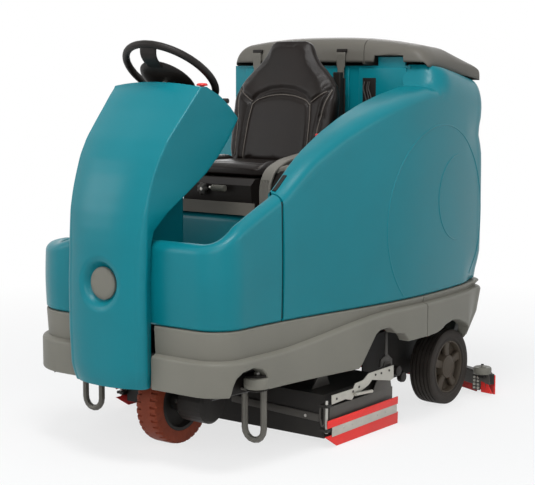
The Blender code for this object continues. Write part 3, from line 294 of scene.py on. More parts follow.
def rounded_wall(path, inner, low, high, outer_r, outer_h, inner_r, steps=9, rise=14, bulge=0.0):
    """A wall carried along path.  Its section goes up the outside, over a quarter ellipse
    outer_r deep and outer_h high, across, over a quarter round of inner_r, and down at inner."""
    n = len(path)
    low, high, outer_r, outer_h = [np.broadcast_to(v, n)[:, None]
        for v in (low, high, outer_r, outer_h)]
    span = np.linalg.norm(inner - path, axis=1)[:, None]
    q = radians(linspace(0, 90, steps))[None, :]
    up = linspace(0, 1, rise)[None, :]
    foot = 0.006
    depth = concatenate([foot + 0 * low, -bulge * sin(pi * up) + 0 * low, outer_r * (1 - cos(q)),
        span - inner_r * (1 - sin(q)), span, span], axis=1)
    height = concatenate([low, low + foot + (high - outer_h - low - foot) * up,
        high - outer_h + outer_h * sin(q), high - inner_r + inner_r * cos(q), high - inner_r - 0.01,
        low], axis=1)
    flat = path[:, None, :] + ((inner - path) / span)[:, None, :] * depth[:, :, None]
    return concatenate([flat, height[:, :, None]], axis=2)


RIDGE_Y = array([-1.0, -0.875, -0.845, -0.814, -0.762, -0.708, -0.626, -0.543, -0.486, -0.428, -0.369,
    -0.248, -0.122, 0.008, 0.144, 0.286, 0.404, 1.0])
RIDGE_Z = array([0.765, 0.768, 0.779, 0.797, 0.824, 0.848, 0.886, 0.925, 0.968, 1.017, 1.058,
    1.123, 1.176, 1.22, 1.254, 1.28, 1.286, 1.29])


def ridge(y):
    """Height of the left wing's top edge, from knots joined by a running mean over 60 mm."""
    spread = linspace(-0.03, 0.03, 13)
    return interp(y[:, None] + spread[None, :], RIDGE_Y, RIDGE_Z).mean(axis=1)


def eased(value, start, end):
    """0 before start, 1 after end, and a smooth cubic between them."""
    t = clip((value - start) / (end - start), 0, 1)
    return t * t * (3 - 2 * t)


half_plan = outline()
mirror_plan = outline(0.19)[::-1] * [-1, 1]
shell_path = concatenate([mirror_plan[mirror_plan[:, 1] < -0.64], half_plan[half_plan[:, 1] < -0.5415]])
shell_inner = shell_path + inward(shell_path) * WALL
from_end = length_along(*shell_path.T)
corner_drop = 0.03 * (1 - sqrt(1 - (1 - clip(from_end / 0.03, 0, 1)) ** 2))
shell_top = where(shell_path[:, 0] > 0, ridge(shell_path[:, 1]),
    0.728 + 0.037 * eased(shell_path[:, 0], -0.36, -0.17)) - corner_drop
shell = skin("shell_panel", rounded_wall(shell_path, shell_inner, BODY_LOW, shell_top, 0.038,
    0.034, 0.014, bulge=0.003), teal_poly, caps=True)
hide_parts("front_shell")

# The tank panel starts at the shell's seam, carries the wing, and runs round the rear to the
# right shoulder and the wall under the seat.  Behind the wing it rises to meet the lid.
left_run = half_plan[half_plan[:, 1] > -0.5385]
right_run = mirror_plan[mirror_plan[:, 1] > -0.34]
turn = radians(linspace(180, 270, 7))
turn_x = right_run[-1, 0] + 0.03
turn_run = stack([turn_x + 0.03 * cos(turn), -0.34 + 0.03 * sin(turn)], axis=1)[1:]
seat_run = stack([linspace(turn_x + 0.012, 0.404, 40), np.full(40, -0.37)], axis=1)
tank_path = concatenate([left_run, right_run[1:], turn_run, seat_run])
is_left = np.arange(len(tank_path)) < len(left_run)
is_wall = np.arange(len(tank_path)) >= len(left_run) + len(right_run) - 1
px, py = tank_path[:, 0], tank_path[:, 1]
right_limit = -(0.352 + 0.0988 * eased(py, 0.325, 0.362))
inner_x = where(is_left, minimum(px, 0.4056), maximum(px, right_limit))
inner_x = where(is_wall, maximum(px, -0.352), inner_x)
inner_y = where(is_wall, -0.337, minimum(py, 0.746))
inner_y = where(is_wall | (py > -0.337), inner_y, where(is_left, py, -0.337))
under_lid = 1.37 - 0.1675 * (py - 0.335)
raised = eased(py, 0.335, 0.372)
left_top = ridge(py) + (under_lid - ridge(py)) * raised
rear_top = 1.298 + 0 * px
right_top = BAY_TOP + (1.1 - BAY_TOP) * eased(py, 0.33, 0.38)
to_right = eased(px, -0.44, -0.462)
tank_top = where(is_left & (px > 0.4), left_top, where(is_left, rear_top,
    right_top * to_right + rear_top * (1 - to_right)))
tank_top = where(is_wall, BAY_TOP, tank_top)
corner = exp(-((py - 0.352) / 0.04) ** 2)
tank_r = where(is_left & (px > 0.4), 0.062 - 0.01 * eased(py, 0.36, 0.44) + 0.026 * corner, 0.03)
tank_h = where(is_left & (px > 0.4), 0.042 + 0.07 * raised, 0.028)
tank_rows = rounded_wall(tank_path, stack([inner_x, inner_y], axis=1), BODY_LOW, tank_top,
    tank_r, tank_h, 0.012, rise=20, bulge=0.004)
waist = 0.012 * exp(-((tank_rows[:, :, 2] - 1.09) / 0.05) ** 2)
waist += 0.02 * eased(tank_rows[:, :, 2], 0.62, 0.49)
outer = concatenate([np.ones(24), linspace(1, 0, tank_rows.shape[1] - 24)])[None, :]
waist *= eased(py, 0.56, 0.72)[:, None] * outer
round_in = 0.055 * exp(-((py - 0.335) / 0.045) ** 2)[:, None] * eased(tank_rows[:, :, 2], 1.255,
    1.31) * outer
tank_rows[:, :, 0] -= round_in * (is_left & (px > 0.4))[:, None]
tank_rows[:, :, :2] += inward(tank_path)[:, None, :] * waist[:, :, None]
tank = skin("tank_panel", tank_rows, teal_poly, caps=True)
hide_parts("solution_tank")


def straight_wall(name, start, end, thick, low, high, finish, body="chassis", r=0.008, n=12):
    """A rounded wall of one thickness from start to end in plan."""
    run = stack([linspace(start[0], end[0], n), linspace(start[1], end[1], n)], axis=1)
    return skin(name, rounded_wall(run, run + inward(run) * thick, low, high, r, r, r), finish,
        body, caps=True)


straight_wall("bay_bridge", (-0.448, 0.3225), (0.403, 0.3225), 0.036, BODY_LOW, BAY_TOP, teal_poly)
straight_wall("bay_side", (0.404, -0.335), (0.404, 0.321), 0.052, BODY_LOW, BAY_TOP, teal_poly)
dress(teal_poly, "recovery_tank", "column_cover")


# Front shroud.  One moulding stands over the steering column: its face leans back from the
# middle up, and two flanges sweep back beside the dash.  A round dish is moulded in low down.
SHROUD = array([
    # height, middle of face, start of corner, rear edge, half width, half width at the rear
    [0.274, -0.945, -0.918, -0.868, 0.16, 0.155], [0.288, -0.951, -0.923, -0.868, 0.166, 0.158],
    [0.33, -0.9545, -0.93, -0.868, 0.174, 0.16], [0.45, -0.9545, -0.934, -0.868, 0.177, 0.16],
    [0.62, -0.9545, -0.934, -0.868, 0.177, 0.16], [0.76, -0.948, -0.926, -0.868, 0.177, 0.165],
    [0.81, -0.943, -0.92, -0.862, 0.177, 0.172], [0.87, -0.933, -0.91, -0.805, 0.178, 0.186],
    [0.93, -0.918, -0.893, -0.712, 0.179, 0.194], [0.99, -0.898, -0.872, -0.62, 0.181, 0.199],
    [1.05, -0.87, -0.846, -0.55, 0.186, 0.201], [1.11, -0.83, -0.808, -0.493, 0.19, 0.202],
    [1.175, -0.77, -0.75, -0.445, 0.195, 0.202], [1.215, -0.733, -0.713, -0.49, 0.198, 0.203],
    [1.255, -0.695, -0.677, -0.548, 0.201, 0.204], [1.287, -0.66, -0.645, -0.62, 0.203, 0.204]])
BADGE_Z = 0.626


def hollow(piece):
    """Gives a skin a 4 mm wall inwards."""
    wall = piece.modifiers.new("wall", "SOLIDIFY")
    wall.thickness = 0.004
    wall.offset = -1.0


def shroud_grid(levels=170, across=84):
    """Each level is a bowed face (depth falls with the 2.6th power of x), a corner whose radius
    shrinks upwards from 30 to 7 mm, and a straight flank.  The dish sinks it along Y."""
    z = linspace(0.274, 1.287, levels)
    smooth = linspace(-0.012, 0.012, 7)
    wide = clip(z[:, None] + smooth[None, :], 0.274, 1.287)
    front, corner, rear, half, rear_half = [interp(wide, SHROUD[:, 0],
        SHROUD[:, k]).mean(axis=1)[:, None] for k in range(1, 6)]
    rear = interp(z, SHROUD[:, 0], SHROUD[:, 3])[:, None]
    radius = (0.03 - 0.023 * eased(z, 0.7, 0.98))[:, None]
    radius = minimum(radius, 0.85 * (rear - corner))
    s = linspace(0, 1, across // 2)[None, :]
    face_x = s * (half - radius)
    face_y = front + (corner - front) * s ** 2.6
    q = radians(linspace(0, 90, 9))[None, 1:]
    turn_x = half - radius + radius * sin(q)
    turn_y = corner + radius * (1 - cos(q))
    t = linspace(0, 1, 22)[None, 1:]
    flank_x = half + (rear_half - half) * t
    flank_y = corner + radius + (rear - corner - radius) * t
    x = concatenate([face_x, turn_x, flank_x], axis=1)
    y = concatenate([face_y, turn_y, flank_y], axis=1)
    crown = 0.016 * eased(z, 1.2, 1.287)[:, None] * (1 - clip(x / 0.203, 0, 1) ** 2)
    height = z[:, None] + crown
    reach = np.hypot(x, height - BADGE_Z)
    y = y + 0.027 * (1 - eased(reach, 0.058, 0.082)) + 0.004 * (1 - eased(reach, 0.08, 0.098))
    right = stack([x, y, height], axis=2)
    left = right[:, :0:-1] * [-1, 1, 1]
    return concatenate([left, right], axis=1)


shroud = skin("shroud_skin", shroud_grid(), teal_poly, around=False)
hollow(shroud)
soft_edge = shroud.modifiers.new("edge", "BEVEL")
soft_edge.width = 0.0012
soft_edge.segments = 2
soft_edge.limit_method = "ANGLE"
soft_edge.angle_limit = radians(60)
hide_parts("front_shroud", "badge_dish")


def circle(count):
    """Angles once round, evenly spaced."""
    return linspace(0, 2 * pi, count, endpoint=False)


def turned(name, profile, centre, axis, finish, body="chassis", sides=64, crease=35,
        closed=False):
    """A profile of (radius, height) pairs turned once round an axis through centre."""
    profile = array(profile, float)
    a = circle(sides)[:, None]
    r, h = profile[None, :, 0], profile[None, :, 1] + 0 * a
    ring = [r * cos(a), r * sin(a)]
    ring.insert("XYZ".index(axis), h)
    rows = stack(ring, axis=2) + array(centre, float)
    return skin(name, rows, finish, body, around=closed, along=True, crease=crease)


badge = turned("badge_disc", [(0.0, -0.01), (0.04, -0.0095), (0.05, -0.008), (0.0555, -0.0045),
    (0.0565, 0.0), (0.0565, 0.004), (0.0, 0.004)], (0.0, -0.9275, BADGE_Z), "Y", grey_poly, sides=72)
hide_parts("round_badge")


# Skirts.  Thick grey bumper mouldings hang round the machine below the teal body.  A lower
# band stands proud; its upper edge climbs along the side.  Two arches clear wheel and arm.
SKIRT_TOP = 0.4885


def skirt_rows(path, low, band, inside=0.03):
    """Section: in at the bottom, out over the proud band, in over its rounded step, then up."""
    n = len(path)
    low, band = np.broadcast_to(low, n)[:, None], np.broadcast_to(band, n)[:, None]
    proud, top, r = 0.017, SKIRT_TOP, 0.007
    band = maximum(band, low + 0.02)
    q = radians(linspace(0, 90, 6))[None, :]
    flat = np.zeros((n, 1))
    depth = concatenate([flat + inside, flat + r - proud - 0 * q[:, :1],
        -proud + r * (1 - sin(q)) + flat, flat - proud, flat - proud,
        -proud + 0.012 * (1 - cos(q)) + flat, flat + 0.006, flat + 0.005, flat,
        0.006 * (1 - cos(q)) + flat, flat + inside], axis=1)
    height = concatenate([low, low, low + r * (1 - cos(q)), low + 0.5 * (band - low), band - 0.012,
        band - 0.012 + 0.012 * sin(q), band + 0.004, band + 0.01, flat + top - 0.006,
        top - 0.006 + 0.006 * sin(q) + flat, flat + top], axis=1)
    depth[:, 2:8] = minimum(depth[:, 2:8], inside)
    away = -inward(path)
    plan = path[:, None, :] - away[:, None, :] * depth[:, :, None]
    return concatenate([plan, height[:, :, None]], axis=2)


def side_low(y):
    """Lower edge: a notch for the corner roller and an arch for the scrub head's arm."""
    notch = interp(y, [-0.804, -0.797, -0.786, -0.762, -0.705, -0.664, -0.64, -0.632],
        [0.0, 0.034, 0.062, 0.08, 0.086, 0.074, 0.052, 0.0])
    arch = interp(y, [-0.171, -0.158, -0.083, -0.06, -0.02, 0.0, 0.03, 0.08, 0.098, 0.11],
        [0.0, 0.012, 0.114, 0.127, 0.131, 0.127, 0.104, 0.096, 0.08, 0.062])
    return 0.27 + maximum(notch, arch)


def band_top(y):
    """Upper edge of the proud band, which climbs 72 mm along the side."""
    return 0.388 + 0.072 * eased(y, -0.62, 0.05)


fine_plan = outline(step=0.005)
right_plan = outline(0.19, 0.005)
right_front = right_plan[right_plan[:, 1] < 0.2335][::-1] * [-1, 1]
for word, path in (("left", fine_plan[fine_plan[:, 1] < 0.2335]), ("right", right_front)):
    made = skin(word + "_bumper", skirt_rows(path, side_low(path[:, 1]),
        band_top(path[:, 1])), grey_poly, caps=True, crease=50)
    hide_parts(word + "_skirt")
rear_path = concatenate([fine_plan[fine_plan[:, 1] > 0.2365], (fine_plan[::-1] * [-1, 1])[1:]])
rear_path = rear_path[rear_path[:, 1] > 0.2365]
arch = interp(rear_path[:, 1], [0.236, 0.32, 0.345, 0.381, 0.443, 0.5, 0.56, 0.61, 0.645, 0.665],
    [0.33, 0.335, 0.341, 0.355, 0.365, 0.358, 0.336, 0.309, 0.276, 0.251])
rear_low = where(abs(rear_path[:, 0]) > 0.4, arch, 0.251 + 0.049
    * eased(abs(rear_path[:, 0]), 0.4, 0.34))
rear_rows = skirt_rows(rear_path, rear_low, maximum(0.46, rear_low + 0.03))
lean = 0.008 + 0.9 * clip(0.445 - rear_rows[:, :, 2], 0, 1) ** 1.7
lean *= eased(rear_path[:, 1], 0.58, 0.7)[:, None] * (SKIRT_TOP - rear_rows[:, :, 2] > 0.01)
rear_rows[:, :, :2] += inward(rear_path)[:, None, :] * lean[:, :, None]
rear_bumper = skin("rear_bumper", rear_rows, grey_poly, caps=True, crease=50)
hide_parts("rear_skirt")


# Lids.  Two hollow grey lids hinge on one pin behind the machine and meet in a thin seam.
# They are crowned, fall to the rear, and their free ends roll down.
SEAM_X = 0.216
LID_ENDS = (-0.442, 0.496)
LID_TOP = 1.4748


def lid_rows(xs, free_at, notch=None):
    """Each row is a section across a lid at x: up the front, over the crown, down the rear.  The
    crown sags with the 2.4th power of x, and within 70 mm of the free end it follows a quarter
    ellipse down."""
    rows = []
    for x in xs:
        sag = 0.048 * (abs(x) / 0.5) ** 2.4
        top = LID_TOP - sag
        away = clip(abs(free_at - x) / 0.07, 0, 1)
        fill = 0.46 + 0.54 * sqrt(1 - (1 - away) ** 2)
        front = 0.335 + 0.022 * (1 - sqrt(1 - (1 - away) ** 2))
        low = 1.4 if notch and notch[0] <= x <= notch[1] else 1.374
        y = array([front, front, front + 0.004, front + 0.014, front + 0.034, 0.41, 0.545, 0.655,
            0.735, 0.757, 0.765, 0.765])
        z = array([low, top - 0.044, top - 0.026, top - 0.013, top - 0.005, top, top - 0.012,
            top - 0.042, top - 0.064, top - 0.078, top - 0.1, 1.302])
        z[1:-1] = 1.338 + (z[1:-1] - 1.338) * fill
        z[0] = min(z[0], z[1] - 0.002)
        run = length_along(y, z)
        even = linspace(0, run[-1], 61)
        yy, zz = interp(even, run, y), interp(even, run, z)
        averaged(yy, 2)
        averaged(zz, 2)
        rows.append(stack([np.full(61, x), yy, zz], axis=1))
    ends = []
    for row in (rows[0], rows[-1]):
        wall = row.copy()
        share = linspace(0, 1, 61)
        wall[:, 2] = row[0, 2] + (row[-1, 2] - row[0, 2]) * share
        ends.append(wall)
    return array([ends[0]] + rows + [ends[1]])


def near_end(start, end, count=26):
    """Places from start to end, closer together near both ends."""
    return start + (end - start) * (0.5 - 0.5 * cos(linspace(0, pi, count)))


def lid_piece(name, xs, free_at, node, notch=None):
    """A hollow lid shell over the node it replaces, which it also rides on."""
    made = skin(name, lid_rows(xs, free_at, notch), lid_grey, node, around=False, crease=32)
    hollow(made)
    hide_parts(node)
    return made


lid_grey = surfaced("lid_grey", (0.124, 0.116, 0.1), 0.4, 520.0, 0.0004, 0.06, 3.0)
notch_xs = array([0.2614, 0.2616, 0.2622, 0.33, 0.3978, 0.3984, 0.3986])
left_xs = np.unique(concatenate([near_end(SEAM_X + 0.0015, 0.261, 10), notch_xs,
    near_end(0.399, LID_ENDS[1], 24)]))
lid_piece("left_lid_shell", left_xs, LID_ENDS[1], "solution_lid", (0.2615, 0.3985))
lid_piece("right_lid_shell", near_end(LID_ENDS[0], SEAM_X - 0.0015, 44), LID_ENDS[0], "recovery_lid")


# Latches.  Each is a grey rubber strap that hooks over a black catch in the lid's front edge,
# and turns on a small bolt in the tank's wall.
def squared(wave, power):
    """A sine or cosine pushed out towards 1 and -1, which turns an ellipse into a rounded box."""
    return np.sign(wave) * abs(wave) ** power


def slab(name, centre, half, finish, body="chassis", r=0.003):
    """A box of the given half sizes about a centre, every edge rounded to radius r."""
    made = bmesh.new()
    bmesh.ops.create_cube(made, size=2.0)
    bmesh.ops.scale(made, vec=half, verts=made.verts)
    bmesh.ops.bevel(made, geom=made.edges[:], offset=r, segments=3, profile=0.5, affect="EDGES")
    bmesh.ops.translate(made, vec=centre, verts=made.verts)
    return placed(name, made, bpy.data.meshes.new(name), finish, body, 45)


def strap_of_latch(word, x):
    """Sections across a strap, down its length: it widens to the foot and thins at both ends."""
    z = array([1.4135, 1.412, 1.406, 1.398, 1.38, 1.356, 1.35, 1.325, 1.309, 1.3075])[:, None]
    half = array([0.019, 0.0215, 0.0215, 0.0215, 0.02, 0.0195, 0.015, 0.015, 0.014, 0.011])[:, None]
    deep = array([0.001, 0.0024, 0.0032, 0.003, 0.0024, 0.0024, 0.0028, 0.0034, 0.003, 0.0015])[:, None]
    a = circle(28)[None, :]
    c, s = cos(a), sin(a)
    rows = stack([x + half * squared(c, 0.4), 0.3284 + deep * squared(s, 0.4), z + 0 * a], axis=2)
    return skin(word + "_strap", rows, lid_grey, word + "_latch",
        caps=True, crease=50)


for word, x in (("left", 0.111), ("right", -0.312)):
    slab(word + "_catch", (x + 0.003, 0.331, 1.42), (0.024, 0.0042, 0.0068),
        black_moulding, "recovery_lid", r=0.002)
    hook = strap_of_latch(word, x)
    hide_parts(word + "_latch")
    turned(word + "_latch_bolt", [(0, -0.006), (0.006, -0.006), (0.0068, -0.0045), (0.0068, 0.0),
        (0, 0.0)], (x, 0.3245, 1.326), "Y", bare_steel, word + "_latch", sides=20)


# Tank front.  Two panels stand out of the recovery tank's face with a channel between them, and
# a loom leaves a black socket.  Two round beads are pressed out of the tank's left side, and a
# dark slab stands behind the seam to the shell.
slab("tank_relief", (0.29, 0.357, 1.21), (0.11, 0.0028, 0.142), teal_poly, r=0.0026)
slab("tank_relief_right", (-0.13, 0.357, 1.17), (0.262, 0.0028, 0.182), teal_poly, r=0.0026)
slab("seam_backing", (0.44, -0.54, 0.7), (0.028, 0.006, 0.2), black_moulding)
slab("loom_socket", (0.23, 0.3538, 1.2585), (0.031, 0.0012, 0.0535), black_moulding, r=0.0011)


def rod(name, points, radius, finish, body="chassis", sides=12, closed=False):
    """A round section swept along points: each ring lies square to the run, in its own frame."""
    points = array(points, float)
    slope = np.roll(points, -1, 0) - np.roll(points, 1, 0) if closed else np.gradient(points, axis=0)
    slope = unit(slope)
    across = unit(np.cross(slope, [0.31, 0.17, 0.93]))
    upright = np.cross(slope, across)
    a = circle(sides)[None, :, None]
    radius = np.broadcast_to(radius, len(points))[:, None, None]
    rows = points[:, None] + radius * (across[:, None] * cos(a) + upright[:, None] * sin(a))
    return skin(name, rows, finish, body, along=closed, caps=not closed, crease=60)


def smooth_run(knots, count=40):
    """A rounded run through knots: even points on straight legs, then count // 8 running means."""
    knots = array(knots, float)
    run = length_along(*knots.T)
    even = linspace(0, run[-1], count)
    line = stack([interp(even, run, knots[:, k]) for k in range(3)], axis=1)
    averaged(line, count // 8)
    return line


def raised_ring(name, y, z, radius, start, end):
    """A low bead pressed out of the tank's left side: an arc in Y and Z, cast onto the panel."""
    found = []
    for t in radians(linspace(start, end, 150)):
        hit, spot, normal, _ = tank.ray_cast(Vector((0.9, y + radius * cos(t),
            z + radius * sin(t))), Vector((-1, 0, 0)))
        if hit:
            found.append(array(spot - normal * 0.0017))
    rod(name, found, 0.0038, teal_poly, sides=14)


bpy.context.view_layer.update()
raised_ring("outer_ring", 0.36, 0.763, 0.372, -40, 224)
raised_ring("inner_ring", 0.499, 0.848, 0.168, 92, 268)

for number, (x, low) in enumerate(((0.216, 1.222), (0.232, 1.215), (0.24, 1.228))):
    rod("loom_%d" % number, smooth_run([(x - 0.006, 0.3505, 1.298), (x - 0.01, 0.347, 1.27),
        (x, 0.346, low + 0.02), (x + 0.005, 0.3475, low), (x + 0.008, 0.3505, low - 0.002)]),
        0.003, gunmetal, sides=8)


# Seat.  Black vinyl over foam on a moulded shell.  The back has a broad headrest, side wings
# and a centre panel between piped seams; the cushion has two raised wings.
vinyl = surfaced("seat_vinyl", (0.0072, 0.0048, 0.0038), 0.32, 850.0, 0.0006, 0.22, 9.0)
piping = surfaced("seat_piping", (0.105, 0.092, 0.08), 0.42, 700.0, 0.0003, 0.1)
BACK_LOW = 0.972
BACK = array([[BACK_LOW, 0.185, 0.036], [0.99, 0.214, 0.043], [1.03, 0.228, 0.046],
    [1.1, 0.234, 0.046], [1.17, 0.236, 0.044], [1.235, 0.236, 0.041], [1.275, 0.232, 0.038],
    [1.305, 0.216, 0.036], [1.335, 0.186, 0.034], [1.362, 0.154, 0.031], [1.39, 0.13, 0.029],
    [1.42, 0.114, 0.027], [1.44, 0.1, 0.023], [1.452, 0.074, 0.012]])


def back_rows(levels=64, around=72, shrink=0.004):
    """A superellipse of the 3.2th power at each height, leaning back, its wings swept forward."""
    z = near_end(BACK_LOW, 1.463, levels)
    level = BACK_LOW + (z - BACK_LOW) * 0.9776
    half = (interp(level, BACK[:, 0], BACK[:, 1]) * (1 + 0.075
        * eased(z, 1.33, 1.22)))[:, None] - shrink
    thick = interp(level, BACK[:, 0], BACK[:, 2])[:, None] - shrink
    a = circle(around)[None, :]
    c, s = cos(a), sin(a)
    x = half * squared(c, 0.625)
    y = thick * squared(s, 0.625)
    wing = 0.02 * eased(abs(x), 0.115, 0.215) * eased(z, 1.32, 1.22)[:, None] * (s < 0) * abs(s) ** 0.3
    y = 0.028 + 0.238 * (z[:, None] - 1.0) + thick + y - wing
    return stack([x, y, z[:, None] + 0 * x], axis=2)


def points_of(mesh, what="co"):
    """The places, or the normals, of a mesh's points."""
    values = np.empty(len(mesh.vertices) * 3)
    mesh.vertices.foreach_get(what, values)
    return values.reshape(-1, 3)


def inflated(piece, pressure, cap, voxel=0.006):
    """Foam under a tight cover: a fine remesh of the form is blown up by cloth pressure for 20
    frames, and no point may end further than cap from where it started."""
    grid = piece.modifiers.new("grid", "REMESH")
    grid.mode = "VOXEL"
    grid.voxel_size = voxel
    graph = bpy.context.evaluated_depsgraph_get()
    start = bpy.data.meshes.new_from_object(piece.evaluated_get(graph))
    piece.modifiers.clear()
    finish = piece.data.materials[0]
    piece.data = start
    start.materials.clear()
    start.materials.append(finish)
    rest = points_of(start)
    cloth = piece.modifiers.new("cover", "CLOTH")
    cloth.settings.use_pressure = True
    cloth.settings.uniform_pressure_force = pressure
    cloth.settings.quality = 5
    cloth.settings.effector_weights.gravity = 0.0
    cloth.point_cache.frame_start = 1
    cloth.point_cache.frame_end = 20
    for step in range(1, 21):
        scene.frame_set(step)
    graph = bpy.context.evaluated_depsgraph_get()
    move = points_of(piece.evaluated_get(graph).to_mesh()) - rest
    piece.evaluated_get(graph).to_mesh_clear()
    size = np.linalg.norm(move, axis=1)[:, None]
    move *= minimum(1.0, cap / maximum(size, 1e-9))
    start.vertices.foreach_set("co", (rest + move).ravel())
    piece.modifiers.clear()
    scene.frame_set(1)
    start.update()
    return start


def from_polyline(points, lines):
    """Shortest distance in plan (two columns) from points to any of several polylines."""
    best = np.full(len(points), 9.0)
    for line in lines:
        line = array(line, float)
        for one, two in zip(line[:-1], line[1:]):
            leg = two - one
            t = clip(((points - one) @ leg) / (leg @ leg), 0, 1)
            best = minimum(best, np.linalg.norm(points - one - t[:, None] * leg, axis=1))
    return best


YOKE = [(-0.26, 1.295), (-0.205, 1.262), (-0.142, 1.22), (-0.112, 1.248), (-0.06, 1.267),
    (0.0, 1.273), (0.06, 1.267), (0.112, 1.248), (0.142, 1.22), (0.205, 1.262), (0.26, 1.295)]
ARCH = [(-0.14, 1.208), (-0.12, 1.228), (-0.06, 1.244), (0.0, 1.249), (0.06, 1.244), (0.12, 1.228),
    (0.14, 1.208)]
SIDE_SEAMS = [[(s * 0.14, 1.212), (s * 0.148, 1.15), (s * 0.152, 1.06), (s * 0.152, 0.985)]
    for s in (-1, 1)]
WING_SEAMS = [[(s * 0.222, 1.268), (s * 0.206, 1.2), (s * 0.193, 1.11), (s * 0.197, 1.01)]
    for s in (-1, 1)]
SEAMS = [YOKE, ARCH] + SIDE_SEAMS + WING_SEAMS


def fine(piece):
    """One level of subdivision over the finished cover."""
    smooth = piece.modifiers.new("fine", "SUBSURF")
    smooth.levels = 1
    smooth.render_levels = 1


def tucked(mesh, flat, front, lines, depth, width):
    """Sinks the front face into a groove along each seam: depth falls as a bell of that width."""
    points, normals = points_of(mesh), points_of(mesh, "normal")
    facing = eased(normals @ np.asarray(front), 0.25, 0.7)
    sink = depth * exp(-(from_polyline(points[:, flat], lines) / width) ** 2) * facing
    points -= normals * sink[:, None]
    mesh.vertices.foreach_set("co", points.ravel())
    mesh.update()


def piped(name, piece, lines, lift, aim, body, flat, radius=0.0022):
    """Piping along each line: a cord whose points are cast onto the cover, then smoothed."""
    for number, line in enumerate(lines):
        run = smooth_run([(p[0], 0.0, p[1]) if flat == (0, 2) else (p[0], p[1], 0.0) for p in line], 60)
        found = []
        for point in run:
            start = Vector(point) - Vector(aim) * 0.8
            if flat == (0, 1):
                start.z = 1.6
            hit, spot, normal, _ = piece.ray_cast(start, Vector(aim))
            if hit:
                found.append(array(spot + normal * lift))
        found = array(found)
        averaged(found, 3)
        cord = rod("%s_%d" % (name, number), found, radius, piping, body, sides=8)
        cord.data.shade_smooth()


back = skin("back_pad", back_rows(), vinyl, "backrest", caps=True)
back_mesh = inflated(back, 4.0, 0.007)
tucked(back_mesh, [0, 2], (0, -1, 0), SEAMS, 0.009, 0.01)
back_mesh.shade_smooth()
fine(back)
bpy.context.view_layer.update()
piped("back_piping", back, [YOKE[1:3], YOKE[-3:-1], ARCH] + SIDE_SEAMS + WING_SEAMS, 0.0004,
    (0, 1, 0), "backrest", (0, 2))
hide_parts("seat_backrest")


def cushion_rows(levels=44, around=64):
    """Sections across the seat, front to rear: flat below, a dish between two raised wings above."""
    y = near_end(-0.2775, 0.012, levels)[:, None]
    ends = sqrt(clip(1 - ((y + 0.133) / 0.146) ** 8, 0.0, 1))
    a = circle(around)[None, :]
    c, s = cos(a), sin(a)
    x = 0.23 * squared(c, 0.45) * (0.93 + 0.07 * ends)
    wings = 0.026 * eased(abs(x), 0.14, 0.205)
    top = 0.973 + (0.021 + wings) * ends
    low = 0.953 + 0.01 * (1 - ends)
    z = where(s >= 0, 0.966 + (top - 0.966 + 0.002) * abs(s) ** 0.6,
        0.966 - (0.966 - low) * abs(s) ** 0.6)
    return stack([x, y + 0 * x, z], axis=2)


cushion = skin("seat_pad", cushion_rows(), vinyl, "seat", caps=True)
cushion_mesh = inflated(cushion, 3.0, 0.005)
CUSHION_SEAMS = [[(s * 0.15, -0.3), (s * 0.15, 0.03)] for s in (-1, 1)] + [[(-0.15, -0.215),
    (0.15, -0.215)]]
tucked(cushion_mesh, [0, 1], (0, 0, 1), CUSHION_SEAMS, 0.006, 0.01)
cushion_mesh.shade_smooth()
fine(cushion)
bpy.context.view_layer.update()
piped("cushion_piping", cushion, [[(s * 0.15, -0.262), (s * 0.15, 0.0)] for s in (-1, 1)], 0.0004,
    (0, 0, -1), "seat", (0, 1))
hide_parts("seat_cushion")

# Seat controls and deck.  The suspension knob has lobes for the fingers, the slide lever is a
# ribbed grey grip, and the tray is folded steel with a rolled lip.
deck_paint = surfaced("deck_paint", (0.15, 0.138, 0.118), 0.42, 600.0, 0.0003, 0.08)
dress(deck_paint, "seat_deck")
angle = circle(72)[:, None]
lobe_r = array([0.0, 0.015, 0.0205, 0.022, 0.0205, 0.011, 0.0])[None, :]
lobe_y = array([-0.018, -0.018, -0.016, -0.01, -0.004, -0.0004, -0.0004])[None, :]
lobed = lobe_r * (1 + 0.11 * cos(7 * angle) * (lobe_r > 0.012))
knob = skin("lobed_knob", stack([lobed * cos(angle) - 0.054, lobe_y + 0 * angle - 0.3275,
    lobed * sin(angle) + 0.905], axis=2), gunmetal, "seat_knob",
    around=False, along=True)
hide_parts("seat_knob")
turned("knob_cap", [(0, -0.0192), (0.0055, -0.019), (0.007, -0.0178), (0, -0.0178)],
    (-0.054, -0.3275, 0.905), "Y", bare_steel, "seat_knob", sides=24)
grip_x = linspace(0.004, 0.064, 60)
grip = turned("ribbed_grip", [(0, 0.003)] + [(0.0112 + 0.001 * cos(x * 900), x) for x in grip_x]
    + [(0, 0.065)], (-0.006, -0.3435, 0.912), "X", grey_poly, "seat_lever", sides=28)
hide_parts("seat_lever")
turned("grip_stem", [(0.0, -0.016), (0.0048, -0.016), (0.0048, 0.006), (0.0, 0.006)],
    (-0.006, -0.335, 0.912), "X", bare_steel, "seat_lever", sides=20)


# Side console.  Grey mouldings frame the black cover between the seat and the wing: a ribbed
# post in front, a rail that climbs beside the cushion, and a branch that runs to the wing.
def strap(name, points, wide, thick, side, finish, body="chassis", sides=24, power=0.45):
    """A flat bar swept along points, its rounded section wide along side and thick square to it."""
    points = array(points, float)
    slope = unit(np.gradient(points, axis=0))
    side = unit(side - (slope @ side)[:, None] * slope)
    face = np.cross(slope, side)
    a = circle(sides)[None, :, None]
    c, s = cos(a), sin(a)
    wide = np.broadcast_to(wide, len(points))[:, None, None] / 2
    thick = np.broadcast_to(thick, len(points))[:, None, None] / 2
    rows = (points[:, None] + side[:, None] * wide * squared(c, power) + face[:, None] * thick
        * squared(s, power))
    return skin(name, rows, finish, body, caps=True, crease=50)


